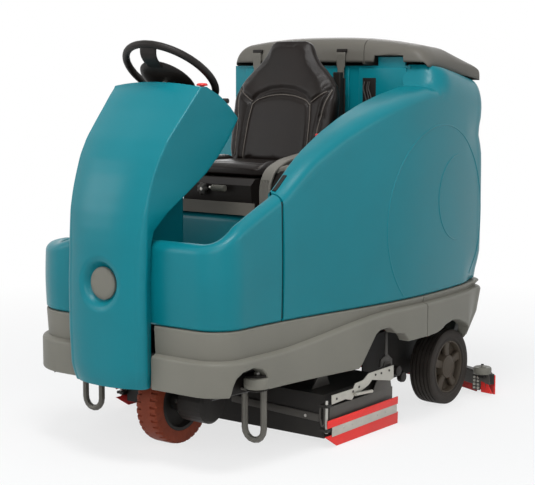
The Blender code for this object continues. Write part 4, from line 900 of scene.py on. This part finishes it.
trim_grey = surfaced("trim_grey", (0.165, 0.155, 0.135), 0.42, 620.0, 0.0004, 0.06, 3.0)
red_gloss = surfaced("red_gloss", (0.62, 0.022, 0.02), 0.28, 500.0, 0.0002, 0.08,
    coat=0.3)
rail_run = smooth_run([(0.268, -0.3725, 0.865), (0.27, -0.378, 0.935), (0.28, -0.362, 0.988),
    (0.292, -0.3, 1.019), (0.3, -0.225, 1.032), (0.306, -0.15, 1.042), (0.312, -0.06, 1.06),
    (0.318, 0.02, 1.064)], 70)
strap("console_rail", rail_run, linspace(0.05, 0.04, 70), 0.014, (1, 0, 0), trim_grey)
strap("console_branch", smooth_run([(0.296, -0.345, 0.985), (0.32, -0.318, 0.998),
    (0.352, -0.262, 1.003), (0.398, -0.205, 1.008)], 40), 0.018, 0.012, (0.6, 0.7, 0), trim_grey)
strap("console_inner", smooth_run([(0.2465, -0.33, 0.85), (0.2465, -0.334, 0.93),
    (0.2465, -0.3, 0.985), (0.2465, -0.18, 1.008), (0.2465, -0.06, 1.035)], 40), 0.016, 0.007,
    (0, 1, 0.6), trim_grey)
for number in range(6):
    x = 0.2525 + 0.0065 * number
    rod("console_rib_%d" % number, [(x, -0.3795, 0.875), (x, -0.3845, 0.932),
        (x + 0.004, -0.3815, 0.957)], 0.0014, trim_grey, sides=8)
# Painted shade: a black strip on the wing's ridge at the seam stands for the shade in the finger notch
# there.
notch_shade_y = linspace(-0.532, -0.468, 10)
strap("notch_shade_strip", stack([0.425 + 0 * notch_shade_y, notch_shade_y, ridge(notch_shade_y) + 0.0005], axis=1), 0.016,
    0.005, (1, 0, 0), black_moulding)
low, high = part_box("belt_buckle")
buckle = slab("buckle_body", (low + high) / 2, (high - low) / 2, black_moulding, r=0.004)
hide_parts("belt_buckle")
slab("buckle_press", (0.263, -0.0275, 1.0985), (0.0115, 0.0185, 0.0085), red_gloss, r=0.003)

# Dash and belt.  A black moulded hood under the wheel carries a red stop button in a collar and
# a stubby lever.  The belt runs through a flat guide that is bolted to its post.
slab("belt_guide", (0.11, 0.308, 1.118), (0.036, 0.003, 0.193), black_moulding, "seat_deck", r=0.0028)
turned("belt_bolt", [(0.0, 0.3052), (0.008, 0.3052), (0.0074, 0.3018), (0.004, 0.3005),
    (0.0, 0.3005)], (0.104, 0.0, 1.318), "Y", bare_steel, "seat_deck", sides=24)
stop_low, stop_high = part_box("stop_button")
stop_x, stop_y = 0.165, -0.598
top = stop_high[2]
stop = turned("stop_cap", [(0.0, stop_low[2]), (0.0085, stop_low[2]), (0.0085, top - 0.011),
    (0.018, top - 0.01), (0.0195, top - 0.008), (0.019, top - 0.005), (0.016, top - 0.0018),
    (0.009, top - 0.0003), (0.0, top)], (stop_x, stop_y, 0.0), "Z", red_gloss, "stop_button", sides=40)
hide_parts("stop_button")
turned("stop_collar", [(0.0215, 1.262), (0.0255, 1.262), (0.0255, 1.274), (0.0235, 1.277),
    (0.0215, 1.277)], (stop_x, stop_y, 0.0), "Z", black_moulding, sides=40, closed=True)
lever = turned("lever_knob", [(0.0, 1.227), (0.01, 1.227), (0.013, 1.232), (0.013, 1.24),
    (0.0095, 1.245), (0.0, 1.246)], (0.1765, -0.4835, 0.0), "Z", black_moulding,
    "direction_lever", sides=32)
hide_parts("direction_lever")

# Steering wheel.  A soft black rim on three webs that fall to a sunken round hub; the hub is a
# shallow bowl with a raised inner ring, and turns with the column.
HUB = array([0.0, -0.573, 1.33])
UP = array([0.0, 0.601815, 0.798636])
DOWNHILL = array([0.0, 0.798636, -0.601815])


def on_wheel(radius, turn, drop):
    """A point at a radius and turn in the wheel's own plane, and a drop below that plane."""
    radius, turn, drop = [array(v, float)[..., None] for v in (radius, turn, drop)]
    return HUB + radius * (cos(turn) * array([1.0, 0, 0]) + sin(turn) * DOWNHILL) - drop * UP


a, b = np.meshgrid(circle(144), circle(20), indexing="ij")
grip = 0.0134 - 0.0007 * clip(sin(b - 0.6), 0, 1) * (0.5 + 0.5 * cos(30 * a))
rim = skin("wheel_rim", on_wheel(0.171 + grip * cos(b), a, -grip * sin(b)),
    black_moulding, "steering_wheel", along=True, crease=70)
bowl = [(0.0, 0.036), (0.03, 0.036), (0.036, 0.034), (0.062, 0.034), (0.084, 0.028), (0.096, 0.0215),
    (0.101, 0.02), (0.105, 0.0215), (0.1065, 0.0255), (0.103, 0.031), (0.084, 0.038), (0.05, 0.043),
    (0.034, 0.0435), (0.0, 0.0435)]
cap_ring = [(0.0, 0.029), (0.018, 0.0295), (0.0235, 0.032), (0.0245, 0.0365), (0.0, 0.0365)]
for name, ring in (("wheel_hub", bowl), ("wheel_cap", cap_ring)):
    radius, drop = array(ring).T[:, None]
    skin(name, on_wheel(radius, a[:, :1], drop + 0 * a[:, :1]), black_moulding, "steering_wheel",
        around=False, along=True, crease=50)
for number, (turn, wide) in enumerate(((-84, 0.07), (40, 0.034), (140, 0.034))):
    t = radians(turn)
    legs = [on_wheel(r, t, d) for r, d in ((0.17, 0.002), (0.162, 0.012), (0.152, 0.024),
        (0.139, 0.032), (0.12, 0.035), (0.09, 0.0345))]
    across = array([1.0, 0, 0]) * -sin(t) + DOWNHILL * cos(t)
    strap("wheel_web_%d" % number, smooth_run(legs, 30), linspace(wide, wide - 0.006, 30), 0.01,
        across, black_moulding, "steering_wheel")
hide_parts("steering_wheel")

# Wheels.  Rear: solid grooved rubber tyres on moulded five-spoke hubs.  Front: a red-brown
# polyurethane drive tyre with short tread cuts, pressed on a steel rim with five nuts.
WHEEL_R = 0.153
DRIVE_Y = -0.573
tyre_rubber = surfaced("tyre_rubber", (0.0165, 0.0128, 0.0106), 0.62, 700.0, 0.0008,
    0.22, 12.0, dust=0.12)
drive_rubber = surfaced("drive_rubber", (0.235, 0.042, 0.016), 0.52, 700.0, 0.0008,
    0.18, 12.0, dust=0.08)
hub_grey = surfaced("hub_grey", (0.06, 0.047, 0.034), 0.46, 600.0, 0.0004, 0.08)
loop_paint = surfaced("loop_paint", (0.135, 0.128, 0.112), 0.34, 260.0, 0.0002, 0.12,
    14.0, metallic=0.25)
dress(loop_paint, "left_tie_down", "right_tie_down")
grooves = [-0.034, -0.017, 0.0, 0.017, 0.034]
across_tread = linspace(-0.046, 0.046, 185)
tread_r = WHEEL_R - 0.0022 * (abs(across_tread) / 0.046) ** 4
for groove in grooves:
    tread_r -= 0.0046 * (abs(across_tread - groove) < 0.0022)
section = concatenate([[(0.1052, -0.0435), (0.118, -0.048), (0.135, -0.0497), (0.1455, -0.049)],
    stack([tread_r, across_tread], axis=1), [(0.1455, 0.049), (0.135, 0.0497), (0.118, 0.048),
    (0.1052, 0.0435)]])
for word, side in SIDES:
    centre = (0.46 * side, 0.537, WHEEL_R)
    body = word + "_rear_wheel"
    tyre = turned(word + "_tyre", section, centre, "X", tyre_rubber, body, sides=128, closed=True)
    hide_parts(word + "_rear_tyre")
    turned(word + "_bead", [(0.107, side * 0.0468), (0.112, side * 0.0496), (0.117, side * 0.049),
        (0.119, side * 0.047)], centre, "X", tyre_rubber, body, sides=96, closed=True)
    face = side * array([0.0455, 0.0455, 0.04, 0.02, 0.016, 0.016, 0.02, 0.036, 0.044, 0.045])
    ring_r = array([0.105, 0.101, 0.0975, 0.0955, 0.09, 0.053, 0.05, 0.049, 0.045, 0.0])
    shell = stack([ring_r, face], axis=1)
    inner = array([(0.014, -side * 0.044), (0.1, -side * 0.044), (0.105, -side * 0.04)])
    web = turned(word + "_hub", concatenate([shell[:-1], [(0.014, side * 0.0445)], inner]), centre,
        "X", hub_grey, body, sides=120, closed=True)
    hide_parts(word + "_rear_rim")
    turned(word + "_hub_cap", [(0.0, side * 0.0455), (0.03, side * 0.0452), (0.04, side * 0.044),
        (0.0455, side * 0.04), (0.046, side * 0.036), (0.0, side * 0.036)], centre, "X", hub_grey,
        body, sides=72)
    for spoke in range(5):
        t = radians(90 + 72 * spoke)
        reach = linspace(0.044, 0.0985, 16)
        run = stack([0 * reach + centre[0] + side * (0.03 - 0.004
            * sin((reach - 0.044) / 0.0545 * pi)), centre[1] + reach * cos(t),
            centre[2] + reach * sin(t)], axis=1)
        strap("%s_spoke_%d" % (word, spoke), run, linspace(0.03, 0.037, 16), 0.022,
            (0, -sin(t), cos(t)), hub_grey, body, sides=24, power=0.5)
    x, y = 0.44 * side, -0.645
    roller = turned(word + "_front_roller", [(0.0072, -0.0195), (0.04, -0.0195), (0.0445, -0.0165),
        (0.0458, -0.011), (0.0458, 0.011), (0.0445, 0.0165), (0.04, 0.0195), (0.0072, 0.0195)],
        (x, y, 0.2925), "Z", grey_poly, word + "_corner_roller", sides=72, closed=True)
    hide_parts(word + "_corner_roller")
    rear_roll = turned(word + "_end_roller", [(0.007, -0.0145), (0.031, -0.0148), (0.036, -0.0125),
        (0.0378, -0.008), (0.0378, 0.008), (0.036, 0.0125), (0.033, 0.0145), (0.026, 0.012),
        (0.016, 0.012), (0.014, 0.0148), (0.007, 0.0148)], (0.551 * side, 0.735, 0.11), "Z",
        grey_poly, word + "_squeegee_roller", sides=64, closed=True)
    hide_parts(word + "_squeegee_roller")

turns = circle(360)[:, None]
cross_x = concatenate([[-0.044, -0.047], linspace(-0.044, 0.044, 45), [0.047, 0.044]])[None, :]
plain = concatenate([[0.1054, 0.143], WHEEL_R - 0.003 * (linspace(-1, 1, 45)) ** 6,
    [0.143, 0.1054]])[None, :]
cuts = (cos(36 * turns + 9 * np.sign(cross_x) * 0.17) > 0.62) * (abs(cross_x) > 0.021) * (plain > 0.146)
drive_r = plain - 0.0055 * cuts
drive_rows = stack([cross_x + 0 * turns, DRIVE_Y + drive_r * cos(turns),
    WHEEL_R + drive_r * sin(turns)], axis=2)
drive_tyre = skin("drive_tread", drive_rows, drive_rubber, "drive_wheel", along=True, crease=35)
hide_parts("drive_tyre")
for nut in range(5):
    t = radians(20 + 72 * nut)
    turned("drive_nut_%d" % nut, [(0.0, 0.044), (0.0085, 0.044), (0.0085, 0.0495), (0.006, 0.051),
        (0.0, 0.051)], (0.0, DRIVE_Y + 0.036 * cos(t), WHEEL_R + 0.036 * sin(t)), "X",
        bare_steel, "drive_wheel", sides=6)

# Corner roller brackets.  Each roller turns between two black plates bolted to the frame, in a well
# behind the skirt whose wall is coloured black as painted shade for the recess.
for word, s in SIDES:
    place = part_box(word + "_corner_roller")
    x, y = (place[0][0] + place[1][0]) / 2, (place[0][1] + place[1][1]) / 2
    for name, z in (("upper", 0.3155), ("lower", 0.2655)):
        turned("%s_%s_bracket" % (word, name), [(0.0072, z), (0.036, z), (0.038, z + 0.0015),
            (0.038, z + 0.004), (0.036, z + 0.0055), (0.0072, z + 0.0055)], (x, y, 0.0),
            "Z", black_moulding, sides=48, closed=True)
    turned(word + "_bracket_bolt", [(0.0, 0.3195), (0.0105, 0.3195), (0.0105, 0.3265),
        (0.0085, 0.3285), (0.0, 0.3285)], (x, y, 0.0), "Z", bare_steel, sides=6)
    # Painted shade: the black wall behind the skirt's notch darkens the recess round the roller.
    straight_wall(word + "_roller_shade_well", (s * 0.372, -0.8), (s * 0.395, -0.56), 0.006, 0.245,
        0.4, black_moulding, r=0.002)


# Scrub head.  A folded black deck over the brushes, with a bumper strip and a pull handle in
# front.  The side squeegee hangs on a pin: two red rubber strips clamped by a pale steel band.
def plate(name, corners, start, end, finish, body="chassis", r=0.001, axis="X"):
    """A flat outline in the two other axes, thick from start to end along axis, edges rounded."""
    number = "XYZ".index(axis)
    push = Vector()
    push[number] = end - start
    made = bmesh.new()
    face = made.faces.new([made.verts.new(p) for p in np.insert(corners, number, start, axis=1)])
    grown = bmesh.ops.extrude_face_region(made, geom=[face])
    bmesh.ops.translate(made, vec=push, verts=[v for v in grown["geom"]
        if isinstance(v, bmesh.types.BMVert)])
    bmesh.ops.recalc_face_normals(made, faces=made.faces)
    bmesh.ops.bevel(made, geom=made.edges[:], offset=r, segments=2, profile=0.5, affect="EDGES")
    return placed(name, made, bpy.data.meshes.new(name), finish, body, 40)


red_rubber = surfaced("red_polyurethane", (0.78, 0.04, 0.034), 0.42, 420.0, 0.0004,
    0.08, 5.0, coat=0.04)
band_steel = surfaced("clamp_band", (0.46, 0.445, 0.395), 0.4, 260.0, 0.0002, 0.08,
    12.0, metallic=0.35)
for word, s in SIDES:
    swing = word + "_side_squeegee"
    low_blade = plate(word + "_low_blade", [(-0.268, 0.0015), (0.142, 0.0015), (0.144, 0.046),
        (-0.34, 0.046)], s * 0.506, s * 0.512, red_rubber, swing)
    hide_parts(word + "_side_blade")
    plate(word + "_top_blade", [(-0.333, 0.076), (0.134, 0.079), (0.135, 0.108), (-0.333, 0.104)],
        s * 0.5128, s * 0.5178, red_rubber, swing, r=0.0018)
    plate(word + "_band", [(-0.303, 0.041), (0.129, 0.046), (0.129, 0.083), (-0.303, 0.08)],
        s * 0.513, s * 0.516, band_steel, swing, r=0.0006)
    arm = plate(word + "_arm_plate", [(-0.293, 0.156), (-0.208, 0.16), (-0.165, 0.149),
        (-0.149, 0.164), (-0.11, 0.17), (-0.055, 0.185), (-0.032, 0.2), (0.095, 0.175), (0.118, 0.18),
        (0.117, 0.231), (-0.056, 0.229), (-0.089, 0.21), (-0.144, 0.207), (-0.155, 0.19),
        (-0.293, 0.19)], s * 0.503, s * 0.507, band_steel, swing, r=0.0012)
    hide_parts(word + "_side_arm")
    plate(word + "_arm_face", [(-0.3, 0.084), (0.118, 0.084), (0.118, 0.148), (-0.3, 0.148)],
        s * 0.496, s * 0.502, gunmetal, swing, r=0.0015)
    plate(word + "_arm_tie", [(-0.02, 0.146), (0.11, 0.146), (0.1, 0.19), (0.01, 0.19)], s * 0.4975,
        s * 0.5025, gunmetal, swing, r=0.001)
    turned(word + "_hinge_pin", [(0.0, 0.055), (0.0058, 0.055), (0.0058, 0.171), (0.0046, 0.174),
        (0.0, 0.174)], (s * 0.5, -0.318, 0.0), "Z", bare_steel, swing, sides=24)
    for number, (y, z) in enumerate(((-0.16, 0.18), (-0.01, 0.216), (0.03, 0.215), (-0.12, 0.19),
            (0.085, 0.216), (-0.265, 0.173))):
        edge, out = s * 0.5071, s * 0.5092
        turned("%s_arm_bolt_%d" % (word, number), [(0.0, edge), (0.0048, edge), (0.0046, out),
            (0.0, out)], (0.0, y, z), "X", gunmetal, swing, sides=6)
    for number, y in enumerate(linspace(-0.288, 0.105, 8)):
        turned("%s_band_bolt_%d" % (word, number), [(0.0, s * 0.5161), (0.004, s * 0.5161),
            (0.0034, s * 0.5176), (0.0, s * 0.518)], (0.0, y, 0.062), "X", bare_steel, swing, sides=16)
    rod(word + "_arm_strut", [(s * 0.5135, -0.154, 0.169), (s * 0.5135, -0.12, 0.1665),
        (s * 0.5135, -0.043, 0.161)], 0.0062, band_steel, swing, sides=20)
    rod(word + "_handle", smooth_run([(s * x, -0.3145, z) for x,
        z in ((0.474, 0.1), (0.476, 0.078), (0.486, 0.072), (0.489, 0.082), (0.489, 0.142),
        (0.486, 0.152), (0.474, 0.15), (0.47, 0.138), (0.47, 0.098), (0.474, 0.088))], 60),
        0.0038, gunmetal, "scrub_head", sides=10)
    plate(word + "_head_bumper", [(s * 0.06, 0.106), (s * 0.462, 0.09), (s * 0.462, 0.118),
        (s * 0.06, 0.134)], -0.305, -0.312, gunmetal, "scrub_head", r=0.0015,
        axis="Y")
    turned(word + "_bumper_bolt", [(0.0, -0.3118), (0.006, -0.3118), (0.0052, -0.3152),
        (0.0, -0.316)], (s * 0.404, 0.0, 0.106), "Y", bare_steel, "scrub_head", sides=20)
    plate(word + "_head_guard", [(0.026, 0.148), (0.06, 0.188), (0.095, 0.1905), (0.1145, 0.15),
        (0.1145, 0.105), (0.03, 0.105)], s * 0.4815, s * 0.493, black_moulding, "scrub_head",
        r=0.003)
    plate(word + "_inner_rib", [(-0.262, 0.191), (-0.15, 0.191), (-0.168, 0.226), (-0.225, 0.234)],
        s * 0.392, s * 0.398, gunmetal, "scrub_head")
    for number, (y, z) in enumerate(((0.176, 0.196), (0.212, 0.166))):
        turned("%s_set_knob_%d" % (word, number), [(0.0, s * 0.47), (0.01, s * 0.47),
            (0.019, s * 0.474), (0.0215, s * 0.484), (0.019, s * 0.494), (0.0, s * 0.496)],
            (0.0, y, z), "X", black_moulding, sides=24)
    plate(word + "_hanger", [(0.124, 0.215), (0.132, 0.245), (0.134, 0.35), (0.15, 0.35),
        (0.152, 0.262), (0.186, 0.238), (0.186, 0.192), (0.172, 0.187), (0.172, 0.222),
        (0.14, 0.222)], s * 0.454, s * 0.458, gunmetal, r=0.0012)
    plate(word + "_catch_hook", [(0.084, 0.222), (0.09, 0.252), (0.12, 0.262), (0.15, 0.254),
        (0.15, 0.236), (0.112, 0.24), (0.1, 0.224)], s * 0.46, s * 0.468, gunmetal, "scrub_head",
        r=0.002)
    # Steel liners close the frame's side between the head and the rear wheel.
    plate(word + "_frame_liner", [(0.135, 0.118), (0.6, 0.118), (0.66, 0.318), (0.13, 0.318)],
        s * 0.35, s * 0.356, powder_coat)
plate("rear_bulkhead", [(-0.345, 0.15), (0.345, 0.15), (0.345, 0.318), (-0.345, 0.318)], 0.395,
    0.4, powder_coat, r=0.001, axis="Y")

# Rear squeegee.  A bowed steel channel holds the two red blades between clamp bands that are
# bolted through; a plate at each end carries the roller.
def bow_y(x):
    """Middle line of the rear squeegee at x: a parabola that falls forward to both ends."""
    return 0.9341 - 0.1591 * (x / 0.572) ** 2


dress(red_rubber, "rear_blade", "front_blade")


reach = linspace(-0.566, 0.566, 60)
bow = bow_y(reach)
behind = stack([reach, bow + 0.0206, 0 * reach + 0.066], axis=1)
strap("rear_clamp", behind, 0.02, 0.0018, (0, 0, 1), band_steel, "squeegee", sides=16)
ahead = stack([reach * 0.985, bow - 0.0242, 0 * reach + 0.06], axis=1)
strap("front_clamp", ahead, 0.058, 0.003, (0, 0, 1), gunmetal, "squeegee", sides=16)
for number, x in enumerate(linspace(-0.55, 0.55, 15)):
    y = bow_y(x)
    turned("clamp_bolt_%d" % number, [(0.0, y + 0.02), (0.0048, y + 0.02), (0.0044, y + 0.0226),
        (0.0, y + 0.0226)], (x, 0.0, 0.066), "Y", gunmetal, "squeegee", sides=6)
for word, s in SIDES:
    plate(word + "_end_plate", [(s * 0.498, 0.02), (s * 0.534, 0.02), (s * 0.534, 0.084),
        (s * 0.498, 0.086)], 0.7485, 0.7525, gunmetal, "squeegee", r=0.001,
        axis="Y")
    for number in range(8):
        x, z = s * (0.5075 + 0.017 * (number % 2)), 0.03 + 0.0145 * (number // 2)
        turned("%s_end_bolt_%d" % (word, number), [(0.0, 0.7486), (0.0056, 0.7486), (0.005, 0.7458),
            (0.0, 0.745)], (x, 0.0, z), "Y", band_steel, "squeegee", sides=16)
    plate(word + "_end_tip", [(s * 0.535, 0.07), (s * 0.551, 0.078), (s * 0.587, 0.01),
        (s * 0.535, 0.012)], 0.754, 0.76, red_rubber, "squeegee", r=0.0015, axis="Y")
    plate(word + "_end_cap", [(s * 0.536, 0.062), (s * 0.583, 0.048), (s * 0.576, 0.096),
        (s * 0.536, 0.096)], 0.744, 0.7475, gunmetal, "squeegee", r=0.001, axis="Y")
    turned(word + "_roller_nut", [(0.0, 0.1255), (0.0085, 0.1255), (0.0085, 0.132), (0.0, 0.132)],
        (s * 0.551, 0.735, 0.0), "Z", bare_steel, "squeegee", sides=6)

# Floor.  The plate under the driver's feet carries a black mat of ribbed rubber, glued down over
# its whole width so that wet shoes do not slip.
mat = surfaced("ribbed_mat", (0.03, 0.028, 0.026), 0.7, 900.0, 0.001, 0.2)
dress(mat, "floor_plate")
